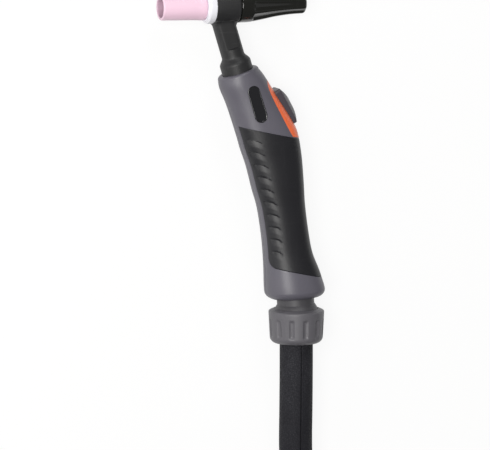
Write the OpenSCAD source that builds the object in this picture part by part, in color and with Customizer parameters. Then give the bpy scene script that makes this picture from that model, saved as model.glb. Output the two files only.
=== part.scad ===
// TIG welding torch, air cooled, with a trigger handle, a sleeved lead put away in a hank, and its connectors.
// It lies on its side on a bench: X runs towards the back cap, Y towards the head, Z up from the bench.
// Sizes are in millimetres.

/* [Cup] */
// Length of the ceramic cup
cup_len = 30; // [20:1:40]
// Outside diameter of the cup at its mouth
cup_tip_d = 16.6; // [15:0.2:19]
// Outside diameter of the cup at its root
cup_root_d = 18.2; // [16.4:0.2:21]
// Bore of the cup at its mouth
cup_bore_d = 12.8; // [12.4:0.2:13.6]
// Diameter of the thread that holds the cup
cup_thread_d = 11.9; // [10:0.1:12.2]
// Length of the thread that holds the cup
cup_thread_len = 10; // [6:0.5:12]

/* [Electrode holder] */
// Diameter of the tungsten that the torch takes
electrode_d = 2.4; // [1.6:0.1:3.2]
// Wall of the collet
collet_wall = 0.45; // [0.3:0.05:0.6]
// Length of the collet's slits
collet_slit_len = 14; // [8:1:18]
// Width of the collet's slits
collet_slit = 0.4; // [0.2:0.05:0.6]
// Diameter of the gas holes in the collet body
gas_hole_d = 1.8; // [1:0.1:2.4]

/* [Head] */
// Diameter of the head
head_d = 23; // [21:0.5:27]
// Length of the head
head_len = 17.2; // [15:0.2:22]
// How far the head reaches in front of the neck's axis
head_front = 4.4; // [2:0.2:7]
// Length of the white gasket between cup and head
gasket_len = 5.9; // [4:0.1:8]
// Diameter of the metal core in the head
core_d = 16; // [14:0.2:17]
// Thread diameter in the core, for collet body and back cap
core_thread_d = 9.2; // [8:0.1:10]

/* [Back cap] */
// Length of the back cap
cap_len = 47.2; // [30:0.2:70]
// Diameter of the cap's collar
cap_base_d = 22.8; // [20:0.2:23]
// Diameter of the cap's end
cap_tip_d = 13.8; // [12:0.2:16]
// Length of the cap's plain collar
cap_collar_len = 8.5; // [5:0.5:12]
// Number of flutes along the cap
cap_flutes = 8; // [4:1:8]
// Depth of the cap's flutes
cap_flute_depth = 1.1; // [0.5:0.1:1.4]
// Pitch of the cap's thread
cap_pitch = 1.25; // [1:0.05:1.5]

/* [Neck] */
// Diameter of the neck
neck_d = 15.2; // [13:0.2:17]
// Thickness of the neck across its two flats
neck_flat_t = 11.8; // [10:0.2:12.8]
// Lean of the neck against the cable's axis, in degrees
neck_lean = 17; // [12:1:22]
// Length of the neck from the handle's mouth to the head's axis
neck_len = 45.4; // [42:0.2:60]
// Diameter of the neck's base in the handle's mouth
neck_base_d = 20.8; // [19.4:0.2:21.4]
// Height of the base above the mouth
neck_base_h = 5.5; // [3:0.5:8]
// Outside diameter of the copper tube in the neck
neck_tube_d = 8.4; // [7:0.2:9]

/* [Handle] */
// Length of the handle along the cable's axis
handle_len = 152.2; // [145:0.2:170]
// How far the mouth leans out in front of the base
handle_reach = 40.8; // [34:0.2:46]
// Width of the handle just below its mouth
mouth_w = 28; // [27:0.2:31]
// Thickness of the handle just below its mouth
mouth_t = 26.4; // [26:0.2:29]
// Width of the handle at its shoulder
shoulder_w = 39.2; // [37:0.2:42]
// Thickness of the handle at its shoulder
shoulder_t = 30.6; // [29:0.2:33]
// Width of the handle at its waist
waist_w = 31; // [29.6:0.2:35]
// Thickness of the handle at its waist
waist_t = 29; // [27.6:0.2:31]
// Width of the handle at its base
base_w = 40; // [38.4:0.2:42]
// Thickness of the handle at its base
base_t = 36; // [34.8:0.2:36.8]
// Wall of the handle's shells
shell_wall = 2.4; // [2:0.1:3]
// Diameter of the two screws that join the shells
screw_d = 3; // [2.5:0.1:3.5]

/* [Grip] */
// Depth of the soft grip
grip_t = 1.2; // [0.8:0.1:1.4]
// Number of grooves on each side of the grip
grip_grooves = 10; // [4:1:12]
// Distance between the grooves
groove_pitch = 8.3; // [7.5:0.1:9]
// Width of a groove
groove_w = 1.3; // [0.8:0.1:2]
// Half width of the hard strip left bare along the handle's front
front_strip_half = 5.5; // [3:0.5:8]

/* [Switch] */
// Depth of the switch housing's seat in the handle's back
bezel_depth = 6.6; // [5:0.2:7.2]
// Length of the switch housing's seat
bezel_len = 37.8; // [34:0.2:38.2]
// Thickness of the switch housing over the button's flange
bezel_t = 4; // [3:0.2:4.6]
// Length of the button
button_len = 25.8; // [20:0.2:28]
// Width of the button
button_w = 13.6; // [10:0.2:15]
// Lean of the button against the ball joint's axis
button_lean = 28.7; // [26:0.1:32]
// Radius of the button's corners
button_corner = 2; // [1:0.2:4]
// Height of the button over the handle's back
button_rise = 6.1; // [4:0.1:7]
// Travel of the button
button_travel = 1.6; // [0.8:0.1:2]
// Length of the microswitch
micro_len = 20; // [16:0.5:22]
// Width of the microswitch
micro_w = 6.4; // [5:0.1:7]
// Height of the microswitch
micro_h = 8; // [7:0.1:8.4]

/* [Badge] */
// Length of the plain badge plate
badge_len = 25; // [18:0.5:30]
// Width of the badge plate
badge_w = 8.4; // [6:0.2:11]
// Thickness of the badge plate
badge_t = 1.6; // [1.2:0.1:2.4]

/* [Ball joint] */
// Diameter of the ball
ball_d = 30.8; // [30:0.1:31]
// Diameter of the spigot between handle and nut
spigot_d = 24.8; // [23:0.2:25.4]
// Height of the ball's centre over the nut's lower end
ball_h = 17; // [16.4:0.2:18]
// Gap between the nut and the handle
joint_gap = 7.4; // [4.6:0.2:8]
// Lean of the handle's base against the cable, in degrees
rest_tilt = 3; // [0:1:5]
// Bore through the ball
ball_bore_d = 17; // [16.4:0.2:18]
// Diameter of the collar nut
nut_d = 37; // [37:0.2:40]
// Length of the collar nut
nut_len = 23; // [22.4:0.2:24]
// Number of flutes round the nut
nut_flutes = 12; // [6:1:16]
// Depth of the nut's flutes
nut_flute_depth = 0.8; // [0.4:0.1:1]

/* [Lead] */
// Diameter of the leather-sleeved lead
sleeve_d = 23; // [20:0.5:23]
// Length of a straight run in the hank
hank_run = 170; // [130:5:200]
// Bend radius of the hank's inner lane
hank_fold_r = 70; // [69:1:74]
// Distance between lanes and layers in the hank
hank_pitch = 24; // [23.8:0.2:25]
// Thickness of the straps round the hank
strap_t = 1.5; // [1:0.1:2.5]
// Width of the straps
strap_w = 22; // [15:1:30]
// Diameter of the power lead
power_d = 10; // [8:0.5:10.5]
// Diameter of the gas hose
gas_d = 8; // [6:0.5:8]
// Diameter of the control lead
control_d = 5.5; // [4:0.5:6]

/* [Connectors] */
// Diameter of the power plug's brass pin
pin_d = 9; // [9:0.1:11]
// Length of the pin in front of the plug's body
pin_len = 24; // [18:1:26]
// Diameter of the power plug's body
plug_d = 26; // [22:0.5:26]
// Length of the power plug's body
plug_len = 48; // [40:1:52]
// Thread bore of the gas nut
gas_thread_d = 13; // [11:0.1:14]
// Width of the gas nut across its flats
gas_nut_af = 17; // [16:0.5:18]
// Diameter of the control plug's ring
ring_d = 18; // [16:0.5:18]
// Length of the control plug
control_plug_len = 36; // [30:1:38]

/* [Hidden] */

$fn = 48;
fine = 0.1;            // a seated fit between fixed pieces
running = 0.05;        // radial clearance of a running fit
seat_gap = 0.15;       // gap between faces that part when a joint moves
over = 1;              // how far a cutter passes a face

// ---- Colours ----
alumina_pink = [0.94, 0.80, 0.85];
ptfe_white = [0.93, 0.93, 0.92];
brass = [0.78, 0.62, 0.32];
copper = [0.72, 0.45, 0.30];
charcoal = [0.20, 0.20, 0.20];
cap_black = [0.07, 0.07, 0.07];
handle_grey = [0.42, 0.41, 0.44];
grip_black = [0.09, 0.09, 0.10];
switch_orange = [0.95, 0.42, 0.25];
steel = [0.62, 0.62, 0.64];
leather_black = [0.13, 0.12, 0.12];
rubber_black = [0.08, 0.08, 0.08];
hose_blue = [0.12, 0.20, 0.42];
nylon_white = [0.85, 0.85, 0.80];
nut_grey = [0.46, 0.45, 0.47];

// ---- General shapes ----
function mix(a, b, t) = a + (b - a) * t;
function smooth(t) = (1 - cos(180 * t)) / 2;
function unit(v) = v / norm(v);

// Catmull-Rom curve through a list of rows, t counted in rows
function curve(rows, t) =
    let (i = min(floor(t), len(rows) - 2), f = t - i)
    let (a = rows[max(i - 1, 0)], b = rows[i], c = rows[i + 1], d = rows[min(i + 2, len(rows) - 1)])
    0.5 * (2 * b + (c - a) * f + (2 * a - 5 * b + 4 * c - d) * f * f + (3 * b - a - 3 * c + d) * f * f * f);

// Skin over a list of closed rings of points, with flat ends
module skin(rings) {
    n = len(rings[0]);
    last = len(rings) - 1;
    sides = [
        for (k = [0 : last - 1], i = [0 : n - 1])
            let (j = (i + 1) % n, a = k * n, b = a + n)
            each [[a + i, b + i, b + j], [a + i, b + j, a + j]]
    ];
    first_end = [for (i = [0 : n - 1]) i];
    last_end = [for (i = [n - 1 : -1 : 0]) last * n + i];
    polyhedron(points = [for (r = rings) each r], faces = concat([first_end], sides, [last_end]), convexity = 8);
}

// Direction of a route at point k, the same as its neighbours' chord
function heading(route, k) = unit(route[min(k + 1, len(route) - 1)] - route[max(k - 1, 0)]);

// Round tube swept along a route, one ring at each of its points
module tube(route, r, sides) {
    skin([
        for (k = [0 : len(route) - 1])
            let (t = heading(route, k), across = unit(cross(t, [0, 0, 1])), up = cross(across, t))
            [for (i = [0 : sides - 1]) let (a = 90 + 360 * i / sides) route[k] + r * (cos(a) * across + sin(a) * up)]
    ]);
}

// Cylinder along Y from y0 to y1
module rod(y0, y1, r) {
    translate([0, y0, 0]) rotate([-90, 0, 0]) cylinder(h = y1 - y0, r = r);
}

// Turned shape along Y: the profile's first coordinate is its radius, the second its place along Y
module turned(profile) {
    rotate([-90, 0, 0]) rotate_extrude($fn = 72) polygon(profile);
}

// Turned shape along X
module turned_x(profile) {
    rotate([0, 90, 0]) rotate_extrude($fn = 72) polygon(profile);
}

module rounded_rect(w, h, r) {
    square([w - 2 * r, h], center = true);
    square([w, h - 2 * r], center = true);
    for (x = [-1, 1], y = [-1, 1]) translate([x * (w / 2 - r), y * (h / 2 - r)]) circle(r = r);
}

module stadium(length, width) {
    square([length - width, width], center = true);
    for (x = [-1, 1]) translate([x * (length - width) / 2, 0]) circle(d = width);
}

// Points of an arc about the origin, in a turned shape's profile
function arc(r, from, to, steps) = [for (i = [0 : steps]) let (a = mix(from, to, i / steps)) r * [cos(a), sin(a)]];

// ---- Handle's outer form ----
// Each station: share of the length, share of the reach, tilt, and size from 0 mouth, 1 shoulder, 2 waist to 3 base
STATIONS = [
    [0.986, 0.988, 17, 0],
    [0.951, 0.924, 16.5, 0.25],
    [0.880, 0.784, 16.5, 0.42],
    [0.757, 0.559, 16, 0.86],
    [0.694, 0.466, 15.5, 1],
    [0.605, 0.380, 11.5, 1.25],
    [0.500, 0.314, 8, 1.58],
    [0.406, 0.255, 3.5, 1.95],
    [0.291, 0.191, 0.5, 2],
    [0.201, 0.140, 0, 2.15],
    [0.122, 0.074, 1, 2.6],
    [0.061, 0.032, 2, 2.92],
    [0.034, 0.015, rest_tilt, 3]
];
handle_y = nut_len + joint_gap;                                  // the base's place along the cable
spigot_h = handle_y - ball_h;                                    // ball's centre to the base
base_x = -spigot_h * sin(rest_tilt);
mouth_x = base_x - handle_reach;
mouth_y = handle_y + handle_len;
mouth_face_d = neck_base_d + 2.6;                                // the flat ring round the neck's base
HALF_WIDTHS = [mouth_w, shoulder_w, waist_w, base_w] / 2;
HALF_DEPTHS = [mouth_t, shoulder_t, waist_t, base_t] / 2;
SQUARENESS = [2, 2.5, 2.4, 2.3];                                 // superellipse exponents
base_corner_w = 6;
last_station = len(STATIONS) - 1;

function blend(sizes, s) = let (i = min(floor(s), len(sizes) - 2)) mix(sizes[i], sizes[i + 1], s - i);

// A section: x, y, tilt, half width, half thickness, exponent
STATION_ROWS = [
    for (s = STATIONS)
        [base_x - handle_reach * s[1], handle_y + handle_len * s[0], s[2],
            blend(HALF_WIDTHS, s[3]), blend(HALF_DEPTHS, s[3]), blend(SQUARENESS, s[3])]
];
mouth_row = [mouth_x, mouth_y, neck_lean, mouth_face_d / 2, mouth_face_d / 2, 2];
base_row = STATION_ROWS[last_station];
function handle_row(t) = curve(STATION_ROWS, t);
function base_round(a) = [
    mix(base_row[0], base_x, sin(a)), mix(base_row[1], handle_y, sin(a)), rest_tilt,
    base_row[3] - base_corner_w * (1 - cos(a)), base_row[4] - base_corner_w * (1 - cos(a)), base_row[5]
];
function eased_mouth(t) = [for (i = [0 : 5]) mix(mouth_row[i], STATION_ROWS[0][i], i == 3 || i == 4 ? sqrt(t) : t)];
HANDLE_ROWS = concat(
    [mouth_row, eased_mouth(0.25), eased_mouth(0.6)],
    [for (t = [0 : 0.5 : last_station]) handle_row(t)],
    [base_round(30), base_round(60), base_round(90)]
);

// Points of a section, from the back edge over the top; half of them for a half shell
function section(row, inset, count, sides) = [
    for (i = [0 : count - 1])
        let (a = 360 * i / sides, c = cos(a), s = sin(a), p = 2 / row[5])
        let (u = (row[3] - inset) * sign(c) * pow(abs(c), p), v = (row[4] - inset) * sign(s) * pow(abs(s), p))
        [row[0] + u * cos(row[2]), row[1] + u * sin(row[2]), v]
];
section_sides = 24;

module half_body() {
    skin([for (r = HANDLE_ROWS) section(r, 0, section_sides / 2 + 1, section_sides)]);
}

// The body pulled in by inset, between two stations
module body_core(inset, from, to, step, sides) {
    skin([for (t = [from : step : to + 0.01]) section(handle_row(t), inset, sides, sides)]);
}

// A point of the handle's back edge, and of its spine, at station t
function back_edge(t) = let (r = handle_row(t)) [r[0] + r[3] * cos(r[2]), r[1] + r[3] * sin(r[2])];
function spine(t) = let (r = handle_row(t)) [r[0], r[1]];

// ---- Frames ----
handle_right = max([for (r = HANDLE_ROWS) r[0] + r[3] * cos(r[2])]);
head_x = mouth_x - neck_len * sin(neck_lean);
head_y = mouth_y + neck_len * cos(neck_lean);
head_front_x = head_x - head_front;
head_back_x = head_front_x + head_len;
gasket_front_x = head_front_x - gasket_len;
cup_front_x = gasket_front_x - cup_len;
cap_back_x = head_back_x + seat_gap + cap_len;
rest_x = -(cup_front_x + max(handle_right, nut_d / 2, cap_back_x)) / 2;
rest_y = -(head_y + max(head_d, cap_base_d) / 2) / 2;
rest_z = max(nut_d, base_t) / 2;

module place() { translate([rest_x, rest_y, rest_z]) children(); }
module at_head() { place() translate([0, head_y, 0]) children(); }
module at_mouth() { place() translate([mouth_x, mouth_y, 0]) rotate([0, 0, neck_lean]) children(); }
module at_ball() { place() translate([0, ball_h, 0]) children(); }
module at_spigot() { at_ball() rotate([0, 0, rest_tilt]) children(); }

// ---- Cup and head ----
cup_edge = 0.6;
core_len = head_len - 1.9;                       // leaves the back cap's O-ring its recess
core_front_x = head_front_x + 0.1;
core_back_x = core_front_x + core_len;
bore_r = core_thread_d / 2 + running;
collet_flange_d = 14;
collet_flange_len = gasket_len - 2;
body_thread_len = 6.8;
collet_body_len = cup_len - 10;
electrode_r = electrode_d / 2 + running;
collet_r = electrode_r + collet_wall;
cap_front_x = head_back_x + seat_gap;
stub_len = 8;                                    // the back cap's threaded stub
collet_back_x = cap_front_x - stub_len - 0.4;
collet_front_x = core_front_x - collet_body_len - 0.8;
collet_len = collet_back_x - collet_front_x;

module cup() {
    root = cup_root_d / 2;
    tip = cup_tip_d / 2;
    thread = cup_thread_d / 2 + running;
    bore = cup_bore_d / 2;
    step = cup_thread_len + 1;
    color(alumina_pink) at_head() translate([gasket_front_x, 0, 0]) mirror([1, 0, 0]) turned_x([
        [thread, 0], [root - cup_edge, 0], [root, cup_edge], [root, 3], [mix(root, tip, 0.3), 5],
        [tip, cup_len - cup_edge], [tip - cup_edge, cup_len], [bore + cup_edge / 2, cup_len],
        [bore, cup_len - cup_edge], [bore, step + 3], [thread, step]
    ]);
}

module cup_gasket() {
    outer = head_d / 2;
    lip = cup_root_d / 2 + 0.9;
    color(ptfe_white) at_head() translate([head_front_x, 0, 0]) mirror([1, 0, 0]) turned_x([
        [collet_flange_d / 2 + fine, 0], [outer, 0], [outer, gasket_len - 1.6], [outer - 0.5, gasket_len - 1.1],
        [lip + 0.3, gasket_len - 1.1], [lip, gasket_len - 0.8], [lip, gasket_len - fine],
        [collet_flange_d / 2 + fine, gasket_len - fine]
    ]);
}

module collet_body() {
    thread = cup_thread_d / 2;
    nose = collet_r + 1.5;
    front = collet_body_len;
    bore = collet_r + running;
    back = body_thread_len;
    color(brass) at_head() translate([core_front_x, 0, 0]) mirror([1, 0, 0]) difference() {
        turned_x([
            [bore, -back], [core_thread_d / 2, -back], [core_thread_d / 2, 0.05], [collet_flange_d / 2, 0.05],
            [collet_flange_d / 2, collet_flange_len], [thread, collet_flange_len], [thread, gasket_len + cup_thread_len],
            [thread - 1, gasket_len + cup_thread_len + 0.8], [nose + 0.6, front + 2], [nose, front + 4],
            [electrode_r + 0.1, front + 4], [electrode_r + 0.1, front + 2], [bore, front + 1]
        ]);
        for (a = [45 : 90 : 315]) rotate([a, 0, 0]) translate([gasket_len + cup_thread_len + 3, 0, 0])
            cylinder(h = thread + over, d = gas_hole_d, $fn = 24);
    }
}

module collet() {
    color(copper) at_head() translate([collet_front_x, 0, 0]) rotate([0, 90, 0]) difference() {
        cylinder(h = collet_len, r = collet_r);
        translate([0, 0, -over]) cylinder(h = collet_len + 2 * over, r = electrode_r);
        for (a = [0, 90]) rotate([0, 0, a]) translate([-collet_r - over, -collet_slit / 2, -over])
            cube([2 * collet_r + 2 * over, collet_slit, collet_slit_len + over]);
    }
}

// Where the neck's tube ends, from the head's axis: clear of the back cap's stub
tube_seat = (core_thread_d / 2 + 0.3 + neck_tube_d / 2 * sin(neck_lean)) / cos(neck_lean);

module head_core() {
    color(brass) difference() {
        at_head() translate([core_front_x, 0, 0]) rotate([0, 90, 0]) difference() {
            cylinder(h = core_len, d = core_d);
            translate([0, 0, -over]) cylinder(h = core_len + 2 * over, r = bore_r);
        }
        at_mouth() rod(neck_len - core_d, neck_len, neck_tube_d / 2 + running);
    }
}

flare_h = 5.6;
neck_flat_from = 15;
collar_depth = 9.6;                              // length of the neck's seat in the handle
neck_flange_t = 3;
neck_flange_d = neck_base_d + 2.6;
NECK_PROFILE = concat(
    [[0, -collar_depth - neck_flange_t], [neck_flange_d / 2, -collar_depth - neck_flange_t],
        [neck_flange_d / 2, -collar_depth - fine], [neck_base_d / 2, -collar_depth - fine]],
    [for (t = [0 : 0.125 : 1]) [mix(neck_base_d, neck_d, smooth(t)) / 2, neck_base_h + flare_h * t]],
    [[neck_d / 2, neck_len], [0, neck_len]]
);

module head_cover() {
    edge = 0.8;
    r = head_d / 2;
    color(charcoal) difference() {
        union() {
            at_head() translate([head_front_x, 0, 0]) turned_x([
                [0, 0], [r - edge / 4, 0], [r, edge / 4], [r, head_len - edge], [r - edge, head_len], [0, head_len]
            ]);
            difference() {
                at_mouth() turned(NECK_PROFILE);
                at_mouth() for (side = [-1, 1]) translate([-neck_d, neck_flat_from, side > 0 ? neck_flat_t / 2 : -neck_flat_t / 2 - neck_d])
                    cube([2 * neck_d, neck_len, neck_d]);
                at_head() translate([head_front_x - head_d, -head_d, -neck_d]) cube([head_d, 2 * head_d, 2 * neck_d]);
            }
        }
        at_head() translate([head_front_x - over, 0, 0]) rotate([0, 90, 0])
            cylinder(h = head_len + 2 * over, d = core_d + 2 * running);
        at_mouth() rod(-collar_depth - neck_flange_t - over, neck_len, neck_tube_d / 2 + running);
    }
}

tube_below = 24;                                 // how far the tube reaches into the handle

module neck_tube() {
    color(copper) at_mouth() difference() {
        rod(-tube_below, neck_len - tube_seat, neck_tube_d / 2);
        rod(-tube_below - over, neck_len, neck_tube_d / 2 - 1.2);
    }
}

// Radius of the back cap along its length
CAP_RADII = [
    [0, cap_base_d / 2], [cap_collar_len, cap_base_d / 2 - 0.2],
    [mix(cap_collar_len, cap_len, 0.21), mix(cap_base_d, cap_tip_d, 0.31) / 2],
    [mix(cap_collar_len, cap_len, 0.45), mix(cap_base_d, cap_tip_d, 0.67) / 2],
    [mix(cap_collar_len, cap_len, 0.70), mix(cap_base_d, cap_tip_d, 0.91) / 2],
    [mix(cap_collar_len, cap_len, 0.93), cap_tip_d / 2]
];
cap_corner = 2.7;

module back_cap() {
    r = cap_tip_d / 2;
    outline = concat(
        [[0, 0]],
        [for (t = [0 : 0.25 : 5]) curve(CAP_RADII, t)],
        [for (a = [0 : 15 : 90]) [cap_len - cap_corner * (1 - sin(a)), r - cap_corner * (1 - cos(a))]],
        [[cap_len, 0]]
    );
    flute_r = 5;
    lift = flute_r - cap_flute_depth;
    flute_len = cap_len - cap_collar_len;
    slope = atan((cap_base_d - cap_tip_d) / 2 / flute_len);
    color(cap_black) at_head() translate([cap_front_x, 0, 0]) difference() {
        union() {
            turned_x([for (p = outline) [p[1], p[0]]]);
            rotate([0, -90, 0]) cylinder(h = stub_len, d = core_thread_d);
        }
        for (i = [0 : cap_flutes - 1]) rotate([360 * (i + 0.5) / cap_flutes, 0, 0])
            translate([cap_collar_len, 0, cap_base_d / 2 + lift]) rotate([0, 90 + slope, 0])
                cylinder(h = flute_len * 1.2, r = flute_r);
        translate([-stub_len - over, 0, 0]) rotate([0, 90, 0])
            cylinder(h = stub_len + over + cap_len - 6, r = electrode_r + 0.7);
    }
}

o_ring_t = 1.6;

module cap_o_ring() {
    major = core_thread_d / 2 + o_ring_t / 2;
    x = (core_back_x + cap_front_x) / 2;
    color(rubber_black) at_head() translate([x, 0, 0]) rotate([0, 90, 0])
        rotate_extrude($fn = 72) translate([major + 0.03, 0]) circle(d = o_ring_t - 2 * running, $fn = 32);
}

// ---- Switch ----
button_top = back_edge(2.03);
button_low = back_edge(3.55);
button_mid = (button_top + button_low) / 2;

// X points out of the handle's back, Y up along it
module at_button() { place() translate(button_mid) rotate([0, 0, button_lean]) children(); }

flange_t = 1.3;
flange_rim = 1.2;
button_drop = bezel_t + 0.25 + flange_t;         // depth of the button's stem below the back edge
button_dome_r = 31.6;
button_side_r = 11;
button_clear = 0.25;
micro_top = -button_drop - button_travel - 0.25; // top of the microswitch, from the back edge
plunger_d = 2.4;
post_d = 2.2;
post_spread = 9.5;
post_boss_d = 5.2;
post_x = micro_top - micro_h + 2.6;
micro_shift = -2;                                // the microswitch sits lower than the button's middle

bezel_shift = -2.7;                              // the housing's middle lies below the button's
bezel_lean = -2;                                 // slope of its seat against the button
cavity_h = 8;                                    // room for the flange and the microswitch's top
cavity_margin = 2;

POSTS = [micro_shift - post_spread / 2, micro_shift + post_spread / 2];

// Shape that cuts the housing's seat out of the handle's back: a superellipse of the fourth order in the side view
module bezel_cutter(extra) {
    depth = bezel_depth + extra;
    half = bezel_len / 2 + extra;
    translate([0, bezel_shift, -shoulder_t]) rotate([0, 0, bezel_lean]) linear_extrude(2 * shoulder_t)
        polygon([
            for (a = [0 : 7.5 : 355])
                [depth * sign(cos(a)) * sqrt(abs(cos(a))), half * sign(sin(a)) * sqrt(abs(sin(a)))]
        ]);
}

// Room below the housing's face, in the housing and in the shells
module switch_cavity() {
    translate([-bezel_t - cavity_h / 2, 0, 0])
        cube([cavity_h, button_len + 2 * cavity_margin, button_w + 2 * cavity_margin], center = true);
}

module button_slot() {
    translate([-bezel_depth - 3, 0, 0]) rotate([0, 90, 0]) linear_extrude(bezel_depth + 12)
        rounded_rect(button_w + 2 * button_clear, button_len + 2 * button_clear, button_corner + button_clear);
}

module switch_housing() {
    color(switch_orange) difference() {
        intersection() {
            place() body_core(0, 1, 5, 0.5, section_sides);
            at_button() bezel_cutter(0);
        }
        at_button() button_slot();
        at_button() switch_cavity();
    }
}

module switch_button() {
    color(rubber_black) at_button() {
        intersection() {
            translate([-button_drop, 0, 0]) rotate([0, 90, 0]) linear_extrude(button_drop + button_rise)
                rounded_rect(button_w, button_len, button_corner);
            translate([button_rise - button_dome_r, 0, -button_w]) cylinder(h = 2 * button_w, r = button_dome_r, $fn = 96);
            translate([button_rise - button_side_r, 0, 0]) rod(-button_len, button_len, button_side_r);
        }
        translate([-button_drop, 0, 0]) rotate([0, 90, 0]) linear_extrude(flange_t)
            rounded_rect(button_w + 2 * flange_rim, button_len + 2 * flange_rim, button_corner + flange_rim);
    }
}

module microswitch() {
    color(rubber_black) at_button() difference() {
        translate([micro_top - micro_h, micro_shift - micro_len / 2, -micro_w / 2]) cube([micro_h, micro_len, micro_w]);
        translate([micro_top - 5, 0, 0]) rotate([0, 90, 0]) cylinder(h = 5 + over, d = plunger_d + 2 * running);
        for (y = POSTS) translate([post_x, y, -micro_w]) cylinder(h = 2 * micro_w, d = post_d + 2 * running);
    }
}

module switch_plunger() {
    color(switch_orange) at_button() translate([micro_top - 3, 0, 0]) rotate([0, 90, 0])
        cylinder(h = -button_drop - seat_gap - micro_top + 3, d = plunger_d);
}

// ---- Handle shells ----
collar_from = 1.15;                              // stations between which the handle is hollow
collar_to = 10.6;
spigot_flange_d = 29;
spigot_flange_t = 3;
spigot_flange_h = spigot_h + 8;                  // from the ball's centre
spigot_top_h = spigot_flange_h + spigot_flange_t + 2;
upper_screw = [mouth_x, mouth_y] + 9.8 * [cos(neck_lean), sin(neck_lean)] + 19 * [sin(neck_lean), -cos(neck_lean)];
lower_screw = spine(9.4) + [8.4, 0];
SCREWS = [[upper_screw, -1], [lower_screw, 1]];  // place, and the side that the screw's head is on
boss_d = 6;
screw_head_d = 5.6;
screw_head_z = 11.4;                             // height of the head's face over the handle's middle
boss_foot = 2.2;                                 // how far the bosses' feet lie below the widest face
boss_gap = 0.02;                                 // the left shell's bosses stop short of the right shell's
badge_station = 2.15;
badge_mid = spine(badge_station) + [-1.1, 0];
badge_lean = neck_lean;
badge_slope = 3;                                 // the handle grows thicker below its mouth
badge_face = handle_row(badge_station)[4] + 0.3; // height of the badge's face over the handle's middle

// Station whose spine lies at height y
function station_at(y) =
    let (step = 0.25, n = len([for (t = [0 : step : last_station - step]) if (spine(t)[1] > y) t]) - 1)
    let (a = spine(n * step)[1], b = spine((n + 1) * step)[1])
    step * (n + (a - y) / (a - b));

// Everything outside the grip's underside, within the grip's outline
module grip_zone(inset, clear) {
    difference() {
        translate([0, 0, -shoulder_t]) linear_extrude(2 * shoulder_t) polygon(grip_outline(clear));
        body_core(inset, 2, 11.5, 0.5, section_sides);
        strip_cutter(clear);
    }
}

grip_slope = -13.7;                              // slope of the grip's ends in the side view
grip_top = 0.722;                                // where they cross the handle's middle, as shares of its length
grip_low = 0.118;
grip_dir = [cos(grip_slope), sin(grip_slope)];
grip_from = 2.5;                                 // stations between which the grip lies
grip_to = 11;
groove_first = 3;                                // the top groove, below the grip's top
groove_start = 2.6;                              // distance of their front ends from the front edge
groove_reach = [8.8, 5.4];                       // length of the top groove and of the lowest
groove_fall = 2.2;                               // how far their back ends bend down
function along(share) = spine(station_at(handle_y + handle_len * share));
grip_corner = along(grip_low) - 13.5 * grip_dir;

function grip_outline(clear) = [
    along(grip_top) - 40 * grip_dir + [0, clear], along(grip_top) + 40 * grip_dir + [0, clear],
    along(grip_low) + 40 * grip_dir - [0, clear], grip_corner - [0, clear],
    grip_corner + [-3.2, 1.6 - clear], grip_corner + [-5.4, 4.6 - clear], grip_corner + [-6.4, 9], grip_corner + [-12, 20],
    grip_corner + [-40, 60]
];

// The bare strip along the front, as thick as it is wide
module strip_cutter(clear) {
    half = front_strip_half - clear;
    translate([0, 0, -half]) linear_extrude(2 * half) polygon(concat(
        [for (t = [2 : 1 : 11]) spine(t)],
        [for (t = [11 : -1 : 2]) spine(t) - [30, 0]]
    ));
}

module shell_half(side) {
    difference() {
        union() {
            difference() {
                place() mirror([0, 0, side > 0 ? 0 : 1]) half_body();
                place() body_core(shell_wall, collar_from, collar_to, 0.45, 12);
            }
            place() for (p = SCREWS) translate([p[0][0], p[0][1], side > 0 ? boss_gap : -shoulder_t / 2 + boss_foot])
                cylinder(h = shoulder_t / 2 - boss_foot - boss_gap, d = boss_d);
            at_button() for (y = POSTS) translate([post_x, y, 0]) {
                translate([0, 0, side > 0 ? micro_w / 2 + fine : -shoulder_t / 2 + boss_foot])
                    cylinder(h = shoulder_t / 2 - boss_foot - micro_w / 2 - fine, d = post_boss_d);
                if (side > 0) translate([0, 0, -micro_w / 2]) cylinder(h = micro_w + 1, d = post_d);
            }
        }
        at_mouth() rod(-collar_depth - over, over + 4, neck_base_d / 2 + fine);
        at_mouth() rod(-collar_depth - neck_flange_t - 0.4, -collar_depth, neck_flange_d / 2 + fine);
        at_spigot() rod(spigot_h - over, spigot_top_h + 3, spigot_d / 2 + running);
        at_spigot() rod(spigot_flange_h - seat_gap, spigot_flange_h + spigot_flange_t + seat_gap, spigot_flange_d / 2 + 0.2);
        at_button() bezel_cutter(running);
        at_button() switch_cavity();
        place() grip_zone(grip_t, fine);
        if (side > 0) at_badge() linear_extrude(10) stadium(badge_len + 2 * fine, badge_w + 2 * fine);
        for (p = SCREWS) at_screw(p) {
            if (p[1] == side) cylinder(h = screw_head_z + over, d = screw_d + 2 * fine, $fn = 24);
            if (p[1] == side) translate([0, 0, screw_head_z - 2.5]) cylinder(h = shoulder_t, d = screw_head_d + 2 * fine);
            if (p[1] != side) translate([0, 0, -10]) cylinder(h = 12, d = screw_d - 0.6, $fn = 24);
        }
    }
}

// Origin at the handle's middle plane, Z towards the screw's head
module at_screw(p) { place() translate([p[0][0], p[0][1], 0]) mirror([0, 0, p[1] > 0 ? 0 : 1]) children(); }
module at_badge() {
    place() translate([badge_mid[0], badge_mid[1], badge_face]) rotate([0, 0, badge_lean + 90]) rotate([0, badge_slope, 0])
        translate([0, 0, -badge_t]) children();
}

module handle_shell_left() { color(handle_grey) shell_half(1); }
module handle_shell_right() { color(handle_grey) shell_half(-1); }

module rear_grip() {
    color(grip_black) place() intersection() {
        difference() {
            grip_zone(grip_t - fine, 0);
            grip_grooves_cut();
        }
        body_core(0, grip_from, grip_to, 0.5, section_sides);
    }
}

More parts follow.
